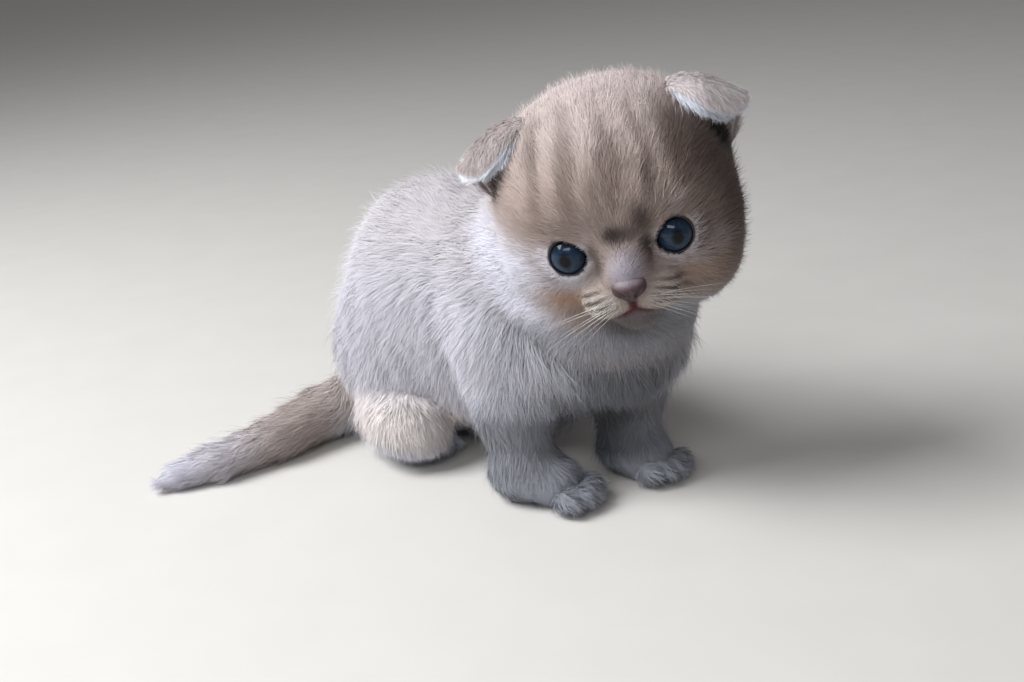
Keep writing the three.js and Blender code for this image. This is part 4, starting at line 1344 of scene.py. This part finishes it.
class KITTEN_OT_eyes(bpy.types.Operator):
    """Make the eyeballs, with a clear bulge in front, and the dark rims of the lids"""

    bl_idname = "kitten.eyes"
    bl_label = "Eyes and lid rims"

    def execute(self, context):
        material = eye_material()
        rim_skin = plain_material("kitten_lid_rim", (0.012, 0.010, 0.011), 0.38)
        for name, side in (("left", 1), ("right", -1)):
            self.eyeball(name, side, material)
            self.rim(name, side, rim_skin)
        return {"FINISHED"}

    def placed(self, points, side):
        """Points of an eye's own frame, moved to the kitten's."""
        return out_of_head(points @ turned(0, 0, EYE_TOE_OUT * side).T + on_side(side, EYE_AT))

    def eyeball(self, name, side, material):
        """A ball of rings about the line of sight, with a clear bulge in front."""
        rings, around = 64, 96
        polar = np.linspace(0, np.pi, rings + 1)[1:-1]
        turn = np.linspace(0, 2 * np.pi, around, endpoint=False)
        out = np.sin(polar)[:, None]
        ball = np.stack([
            out * np.cos(turn), -np.cos(polar)[:, None] + 0 * out * turn, out * np.sin(turn)], -1)
        ball = np.concatenate([((0, -1, 0),), ball.reshape(-1, 3), ((0, 1, 0),)])
        from_front = np.arccos(np.clip(-ball[:, 1], -1, 1))
        bulge = EYE_BULGE * smooth(math.radians(42), math.radians(12), from_front)
        local = ball * (EYE_RADIUS + bulge)[:, None]
        quads, fans = [], []
        for ring in range(rings - 2):
            for n in range(around):
                a = 1 + ring * around + n
                b = 1 + ring * around + (n + 1) % around
                quads.append((a, b, b + around, a + around))
        last = 1 + (rings - 2) * around
        end = last + around
        for n in range(around):
            m = (n + 1) % around
            fans.append((0, 1 + m, 1 + n))
            fans.append((end, last + n, last + m))
        quads = np.array(quads)
        triangles = np.concatenate([quads[:, [0, 1, 2]], quads[:, [0, 2, 3]], np.array(fans)])
        world = self.placed(local, side)
        made = new_mesh(f"eyeball_{name}", to_frame(world), outward(world, triangles), 3)
        layer = made.data.attributes.new("gaze", "FLOAT_VECTOR", "POINT")
        seen = local * (1, 0, 1)
        seen[local[:, 1] > 0] *= 3
        layer.data.foreach_set("vector", seen.astype(np.float32).ravel())
        dress(made, material, "eye", (f"eye_{name}",))

    def rim(self, name, side, material):
        """The dark edge of the lids, thicker above and in the inner corner."""
        a, x, z = eye_outline(72, 0.05)
        radius = EYE_RADIUS + LID_RIM_LIFT
        y = -np.sqrt(np.maximum(radius ** 2 - x * x - z * z, 4.0))
        above, inner = smooth(-0.3, 0.8, np.sin(a)), np.maximum(0, -np.cos(a)) ** 4
        points, faces = tube(
            self.placed(np.stack([x * side, y, z], 1), side),
            LID_RIM * (1 + 0.55 * above + 0.5 * inner), closed=True)
        made = new_mesh(f"lid_rim_{name}", to_frame(points), faces)
        dress(made, material, "eye")


def outward(points, triangles):
    """Turns each triangle of a closed round form to face away from its middle."""
    middle = points.mean(0)
    a, b, c = (points[triangles[:, n]] for n in range(3))
    facing = (np.cross(b - a, c - a) * ((a + b + c) / 3 - middle)).sum(1) > 0
    return np.where(facing[:, None], triangles, triangles[:, ::-1])


def tube(line, radius, closed=False, sides=10):
    """Points and quads of a tube along a line, with a radius at each point."""
    line = np.asarray(line, float)
    count = len(line)
    if closed:
        along = np.roll(line, -1, 0) - np.roll(line, 1, 0)
    else:
        along = np.gradient(line, axis=0)
    along = along / size_of(along)[:, None]
    away = line - line.mean(0)
    away = away - (away * along).sum(1)[:, None] * along
    away = away / size_of(away)[:, None]
    up = np.cross(along, away)
    radius = np.broadcast_to(radius, (count,))
    points = []
    for n in range(sides):
        a = 2 * math.pi * n / sides
        points.append(line + (away * math.cos(a) + up * math.sin(a)) * radius[:, None])
    points = np.stack(points, 1).reshape(-1, 3)
    faces = []
    for i in range(count if closed else count - 1):
        j = (i + 1) % count
        for n in range(sides):
            m = (n + 1) % sides
            faces.append((i * sides + n, i * sides + m, j * sides + m, j * sides + n))
    return points, np.array(faces)


class KITTEN_OT_nose(bpy.types.Operator):
    """Shape the nose leather with its nostrils"""

    bl_idname = "kitten.nose"
    bl_label = "Nose"

    def execute(self, context):
        def at_nose(x, y, z, *radius):
            return (NOSE_AT[0] + x, NOSE_AT[1] + y, NOSE_AT[2] + z, *radius)

        wings = both(lambda s: ellipsoid(at_nose(*on_side(s, NOSE_WING[0])), NOSE_WING[1]))
        wedge = ellipsoid(at_nose(*NOSE_WEDGE[0]), NOSE_WEDGE[1])
        whole = blend(NOSE_BLEND, NOSE, *wings, wedge)
        nostrils = both(
            lambda s: limb([at_nose(*on_side(s, station)) for station in NOSTRIL], NOSE_CUT_BLEND))
        groove = limb([at_nose(*station) for station in NOSE_GROOVE], NOSE_CUT_BLEND)

        def form(q):
            d = whole(q)
            for cut in nostrils:
                d = carve(d, cut(q), NOSTRIL_EDGE)
            return carve(d, groove(q), GROOVE_EDGE)

        lines = [np.arange(c - NOSE_REACH, c + NOSE_REACH, NOSE_STEP) for c in NOSE_AT]
        points, quads = lay_surface(form, lines, near=3.0)
        made = new_mesh("nose_leather", to_frame(out_of_head(points)), quads)
        set_floats(made.data, "crest", smooth(0.4, 2.9, points[:, 2] - NOSE_AT[2]) * 0.6)
        pink, dark, crest = (0.078, 0.038, 0.042), (0.038, 0.017, 0.020), (0.30, 0.26, 0.29)
        leather = leather_material("kitten_nose_leather", pink, dark, crest, 0.5)
        dress(made, leather, "nose_leather", ("nose",))
        return {"FINISHED"}


class KITTEN_OT_ears(bpy.types.Operator):
    """Make the folded ears and their short fur, pale along the rim"""

    bl_idname = "kitten.ears"
    bl_label = "Ears"

    def execute(self, context):
        settings = context.scene.kitten_coat
        skin = plain_material("kitten_ear_skin", (0.44, 0.36, 0.34), 0.6, 0.2)
        fur = bpy.data.materials["kitten_coat"]
        for name, side in (("left", 1), ("right", -1)):
            self.flap(name, side, skin)
            self.fur(name, side, settings, fur)
        return {"FINISHED"}

    def flap(self, name, side, material):
        """The leather of one ear, thin at its edges, from two faces and the rim between them."""
        wide, tall = 28, 30
        s, t = np.meshgrid(np.linspace(0, 1, wide + 1), np.linspace(-0.06, 1, tall + 1), indexing="ij")
        place, normal, _ = ear_frame(side, s, np.clip(t, 0, 1))
        edge = np.minimum(np.minimum(s, 1 - s), 1 - t) * 9
        reach = EAR_HALF_THICK * np.sqrt(np.clip(edge, 0.06, 1))[..., None]
        fronts = (place + normal * reach).reshape(-1, 3)
        backs = (place - normal * reach).reshape(-1, 3)
        number = np.arange((wide + 1) * (tall + 1)).reshape(wide + 1, tall + 1)
        a, b = number[:-1, :-1].ravel(), number[1:, :-1].ravel()
        c, d = number[1:, 1:].ravel(), number[:-1, 1:].ravel()
        loop = np.concatenate([
            number[:-1, 0], number[-1, :-1], number[:0:-1, -1], number[0, :0:-1]])
        following = np.roll(loop, -1)
        faces = np.concatenate([
            np.stack([a, b, c, d], 1),
            np.stack([d, c, b, a], 1) + number.size,
            np.stack([loop, loop + number.size, following + number.size, following], 1)])
        if side > 0:
            faces = faces[:, ::-1]
        made = new_mesh(
            f"ear_flap_{name}", to_frame(out_of_head(np.concatenate([fronts, backs]))), faces)
        dress(made, material, "ear_skin", (f"ear_{name}",))

    def fur(self, name, side, settings, material):
        """Fur that follows the ear over its fold, pale hair along the rim and down inside it."""
        rng = np.random.default_rng(settings.seed + EAR_SEED + side)
        share = 1
        overlap = EAR_OVERLAP // share
        parts = [self.band(side, rng, count // share, *band) for count, *band in EAR_BANDS]
        parts.append(self.overlap(side, overlap, rng))
        root, normal, lie, bend, length, height, pale = (np.concatenate(v) for v in zip(*parts))
        count = len(root)
        lie = lie + np.cross(normal, lie) * rng.normal(0, EAR_SWAY, count)[:, None]
        lie = lie / size_of(lie)[:, None]
        own, rim, crown, crown_pale = (
            linear(COLOURS[key]) for key in (f"ear_{name}", "ear_rim", "crown", "crown_pale"))
        pale = pale[:, None]
        tint = own * (1 - pale) + rim * pale
        tint[-overlap:] = crown * 0.5 + crown_pale * 0.5
        spread = np.stack([0.1 + 0.8 * rng.random(count), 0.1 + 0.8 * rng.random(count)], 1)
        width = EAR_TUFT_WIDTH * rng.uniform(*WIDTH_RANGE, count)
        out = HEAD_TURNED.T
        tufts(
            f"coat_ear_{name}", out_of_head(root), normal @ out, lie @ out, length, height, width, tint,
            3, spread, rng, material, "coat", bend @ out)

    def band(self, side, rng, count, low, high, run, drift, rise, face, pale):
        """Hairs of one row of EAR_BANDS: root, normal, first direction, bend, sizes and paleness."""
        s, t = rng.random(count), rng.uniform(low, high, count)
        run = run * rng.uniform(0.7, 1.3, count)
        drift = drift * rng.uniform(0.4, 1.4, count)
        place, normal, _ = ear_frame(side, s, t)
        _, facing, along = ear_frame(side, np.clip(s + drift / 2, 0, 1), np.clip(t + run, 0, 1))
        beyond = np.maximum(t + run - 1, 0) * RIM_HAIR_REACH
        end = ear_surface(side, np.clip(s + drift, 0, 1), np.minimum(t + run, 1))
        end = end + along * beyond[:, None]
        root = place + normal * (EAR_FUR_ROOT * face)
        way = ear_surface(side, np.clip(s + drift / 3, 0, 1), np.clip(t + run / 3, 0, 1)) - place
        way = way + along * 0.05
        way = way / size_of(way)[:, None]
        length = size_of(end - place)
        bend = end - place - way * length[:, None]
        height = rise * rng.uniform(0.6, 1.4, count)
        return root, facing * face, way, bend, length, height, np.full(count, pale)

    def overlap(self, side, count, rng):
        """Hair of the crown that runs out over the inner end of the ear."""
        t = rng.uniform(0.0, 0.86, count)
        inner, normal, _ = ear_frame(side, 0 * t, t)
        away = ear_surface(side, 0.12 + 0 * t, t) - inner
        away = away / size_of(away)[:, None]
        back, under = rng.uniform(0, 2.8, count), rng.uniform(0.6, 3.2, count)
        root = inner - away * back[:, None] - normal * under[:, None]
        reach = rng.uniform(0.08, 0.3, count)
        end, facing, _ = ear_frame(side, reach, np.clip(t + 0.35 * reach, 0, 1))
        end = end + facing * 0.5
        length = size_of(end - root)
        way = away + normal * 0.25
        way = way / size_of(way)[:, None]
        bend = end - root - way * length[:, None]
        return root, facing, way, bend, length, rng.uniform(0.6, 1.6, count), np.zeros(count)


def strand_tree():
    """Geometry Nodes: thickens each drawn line into a tapering hair."""
    tree = bpy.data.node_groups.new("kitten_strands", "GeometryNodeTree")
    tree.interface.new_socket("Lines", in_out="INPUT", socket_type="NodeSocketGeometry")
    radius = tree.interface.new_socket("Radius", in_out="INPUT", socket_type="NodeSocketFloat")
    finish = tree.interface.new_socket("Material", in_out="INPUT", socket_type="NodeSocketMaterial")
    tree.interface.new_socket("Hairs", in_out="OUTPUT", socket_type="NodeSocketGeometry")
    start, end = tree.nodes.new("NodeGroupInput"), tree.nodes.new("NodeGroupOutput")
    curve = tree.nodes.new("GeometryNodeMeshToCurve")
    taper = tree.nodes.new("GeometryNodeInputNamedAttribute")
    taper.data_type = "FLOAT"
    taper.inputs["Name"].default_value = "taper"
    times = tree.nodes.new("ShaderNodeMath")
    times.operation = "MULTIPLY"
    thick = tree.nodes.new("GeometryNodeSetCurveRadius")
    profile = tree.nodes.new("GeometryNodeCurvePrimitiveCircle")
    profile.inputs["Resolution"].default_value = 5
    profile.inputs["Radius"].default_value = 1.0
    sweep = tree.nodes.new("GeometryNodeCurveToMesh")
    sweep.inputs["Fill Caps"].default_value = True
    realize = tree.nodes.new("GeometryNodeRealizeInstances")
    paint = tree.nodes.new("GeometryNodeSetMaterial")
    link = tree.links.new
    link(start.outputs["Lines"], curve.inputs["Mesh"])
    link(curve.outputs["Curve"], thick.inputs["Curve"])
    link(start.outputs["Radius"], times.inputs[0])
    link(taper.outputs["Attribute"], times.inputs[1])
    link(times.outputs[0], thick.inputs["Radius"])
    link(thick.outputs["Curve"], sweep.inputs["Curve"])
    link(profile.outputs["Curve"], sweep.inputs["Profile Curve"])
    if "Scale" in sweep.inputs:
        link(times.outputs[0], sweep.inputs["Scale"])
    link(sweep.outputs["Mesh"], realize.inputs["Geometry"])
    link(realize.outputs["Geometry"], paint.inputs["Geometry"])
    link(start.outputs["Material"], paint.inputs["Material"])
    link(paint.outputs["Geometry"], end.inputs["Hairs"])
    return tree, radius.identifier, finish.identifier


class KITTEN_OT_whiskers(bpy.types.Operator):
    """Draw the whiskers and brow hairs and thicken them with Geometry Nodes"""

    bl_idname = "kitten.whiskers"
    bl_label = "Whiskers"

    def execute(self, context):
        settings = context.scene.kitten_coat
        rng = np.random.default_rng(settings.seed + WHISKER_SEED)
        lines = []
        for side in (1, -1):
            for row in range(WHISKER_ROWS):
                for n in range(WHISKERS_IN_ROW):
                    across = side * (WHISKER_START[0] + WHISKER_STEP[0] * n)
                    level = WHISKER_START[1] - WHISKER_ROW_DROP * row - WHISKER_STEP[1] * n
                    length = rng.uniform(*WHISKER_LENGTH) * (0.7 + 0.09 * n)
                    way = np.array((side * 1.0, -0.30 + 0.13 * n, -0.10 - 0.16 * row))
                    lines.append(self.hair(face_point(across, level), way, length, rng))
            for n in range(BROW_HAIRS):
                across = side * (BROW_HAIR_START[0] + BROW_HAIR_STEP[0] * n)
                start = face_point(across, BROW_HAIR_START[1] + BROW_HAIR_STEP[1] * n)
                way = np.array((side * (0.1 + 0.12 * n), -0.55, 0.8))
                lines.append(self.hair(start, way, rng.uniform(*BROW_HAIR_LENGTH), rng))
        self.sweep(context, lines, settings.whisker)
        return {"FINISHED"}

    def hair(self, start, way, length, rng):
        """One hair from its root in the head's frame, sagging and swept back towards its tip."""
        way = way + rng.normal(0, HAIR_SWAY, 3)
        way = way / size_of(way)
        t = np.linspace(0, 1, 12)[:, None]
        sag = np.array(HAIR_SAG) * length * rng.uniform(0.6, 1.2)
        return out_of_head(start + way * length * t + sag * t * t)

    def sweep(self, context, lines, radius):
        """Turns the drawn lines into one mesh of tapering hairs."""
        tree, radius_id, material_id = strand_tree()
        mesh = bpy.data.meshes.new("whisker_lines")
        edges, first = [], 0
        for line in lines:
            edges += [(first + n, first + n + 1) for n in range(len(line) - 1)]
            first += len(line)
        mesh.from_pydata([tuple(p) for p in to_frame(np.concatenate(lines))], edges, [])
        taper = [np.linspace(1, WHISKER_TIP, len(line)) for line in lines]
        set_floats(mesh, "taper", np.concatenate(taper))
        drawn = bpy.data.objects.new("whisker_lines", mesh)
        context.scene.collection.objects.link(drawn)
        material = plain_material("kitten_whisker", (0.78, 0.74, 0.70), 0.35)
        modifier = drawn.modifiers.new("Strands", "NODES")
        modifier.node_group = tree
        modifier[radius_id] = radius
        modifier[material_id] = material
        graph = context.evaluated_depsgraph_get()
        swept = bpy.data.meshes.new_from_object(drawn.evaluated_get(graph))
        drawn.modifiers.clear()
        bpy.data.objects.remove(drawn)
        swept.name = "whiskers"
        made = bpy.data.objects.new("whiskers", swept)
        context.scene.collection.objects.link(made)
        made.data.materials.clear()
        dress(made, material, "coat")


# Stage

class KITTEN_OT_stage(bpy.types.Operator):
    """Set the pale floor, the soft light and the camera of the photograph"""

    bl_idname = "kitten.stage"
    bl_label = "Stage"

    def execute(self, context):
        settings = context.scene.kitten_stage
        context.scene.view_settings.view_transform = "Standard"
        self.floor(settings)
        self.lights(context, settings)
        self.camera(context)
        return {"FINISHED"}

    def floor(self, settings):
        reach = 3.0
        corners = reach * np.array(((-1, -1, 0), (1, -1, 0), (1, 1, 0), (-1, 1, 0)))
        made = new_mesh("floor", corners, np.array(((0, 1, 2, 3),)))
        made.data.materials.append(plain_material("floor_paper", tuple(settings.floor), 0.9, 0.015, 40.0))

    def lights(self, context, settings):
        right, _, ahead = camera_axes()
        target = Vector(to_frame(LAMP_TARGET))
        powers = {"window": settings.key_power, "front": settings.front_power}
        for name, (across, along, height, size, colour) in LAMPS.items():
            data = bpy.data.lights.new(name, "AREA")
            data.shape = "RECTANGLE"
            data.size, data.size_y = size
            data.energy = powers[name]
            data.color = colour
            light = bpy.data.objects.new(name, data)
            context.scene.collection.objects.link(light)
            way = across * right + along * ahead
            flat = Vector((way.x, way.y, 0)).normalized() * LAMP_DISTANCE
            light.location = target + flat + Vector((0, 0, height))
            light.rotation_euler = (target - light.location).to_track_quat("-Z", "Y").to_euler()
        world = bpy.data.worlds.new("room")
        world.use_nodes = True
        back = world.node_tree.nodes["Background"]
        back.inputs[0].default_value = ROOM_COLOUR
        back.inputs[1].default_value = settings.sky
        context.scene.world = world

    def camera(self, context):
        right, up, ahead = camera_axes()
        data = bpy.data.cameras.new("camera")
        data.sensor_width = SENSOR
        data.lens = CAMERA_FOCUS * SENSOR
        data.clip_start = 0.01
        camera = bpy.data.objects.new("camera", data)
        context.scene.collection.objects.link(camera)
        place = Matrix((right, up, -ahead)).transposed().to_4x4()
        place.translation = Vector(to_frame(CAMERA_AT))
        camera.matrix_world = place
        context.scene.camera = camera


def camera_axes():
    """The camera's right, up and forward directions."""
    pitch, roll = math.radians(CAMERA_PITCH), math.radians(CAMERA_ROLL)
    flat = Vector((*CAMERA_HEADING, 0)).normalized()
    ahead = (flat * math.cos(pitch) - Vector((0, 0, math.sin(pitch)))).normalized()
    level = Vector((flat.y, -flat.x, 0))
    over = level.cross(ahead)
    right = level * math.cos(roll) - over * math.sin(roll)
    up = level * math.sin(roll) + over * math.cos(roll)
    return right, up, ahead


PIECES = (
    KITTEN_OT_stage, KITTEN_OT_skin, KITTEN_OT_coat, KITTEN_OT_eyes, KITTEN_OT_nose, KITTEN_OT_ears,
    KITTEN_OT_whiskers)


class KITTEN_PT_panel(bpy.types.Panel):
    """Buttons for each piece of the kitten"""

    bl_idname = "KITTEN_PT_panel"
    bl_label = "Kitten"
    bl_space_type = "VIEW_3D"
    bl_region_type = "UI"
    bl_category = "Kitten"

    def draw(self, context):
        for piece in PIECES:
            self.layout.operator(piece.bl_idname)
        for settings in (context.scene.kitten_coat, context.scene.kitten_stage):
            for key in settings.bl_rna.properties.keys():
                if key not in ("rna_type", "name"):
                    self.layout.prop(settings, key)


CLASSES = (KittenCoatSettings, KittenStageSettings, *PIECES, KITTEN_PT_panel)


def register():
    for one in CLASSES:
        bpy.utils.register_class(one)
    bpy.types.Scene.kitten_coat = bpy.props.PointerProperty(type=KittenCoatSettings)
    bpy.types.Scene.kitten_stage = bpy.props.PointerProperty(type=KittenStageSettings)


def unregister():
    del bpy.types.Scene.kitten_coat
    del bpy.types.Scene.kitten_stage
    for one in reversed(CLASSES):
        bpy.utils.unregister_class(one)


def main():
    register()
    for piece in PIECES:
        group, _, call = piece.bl_idname.partition(".")
        getattr(getattr(bpy.ops, group), call)()
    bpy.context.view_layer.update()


if __name__ == "__main__":
    main()
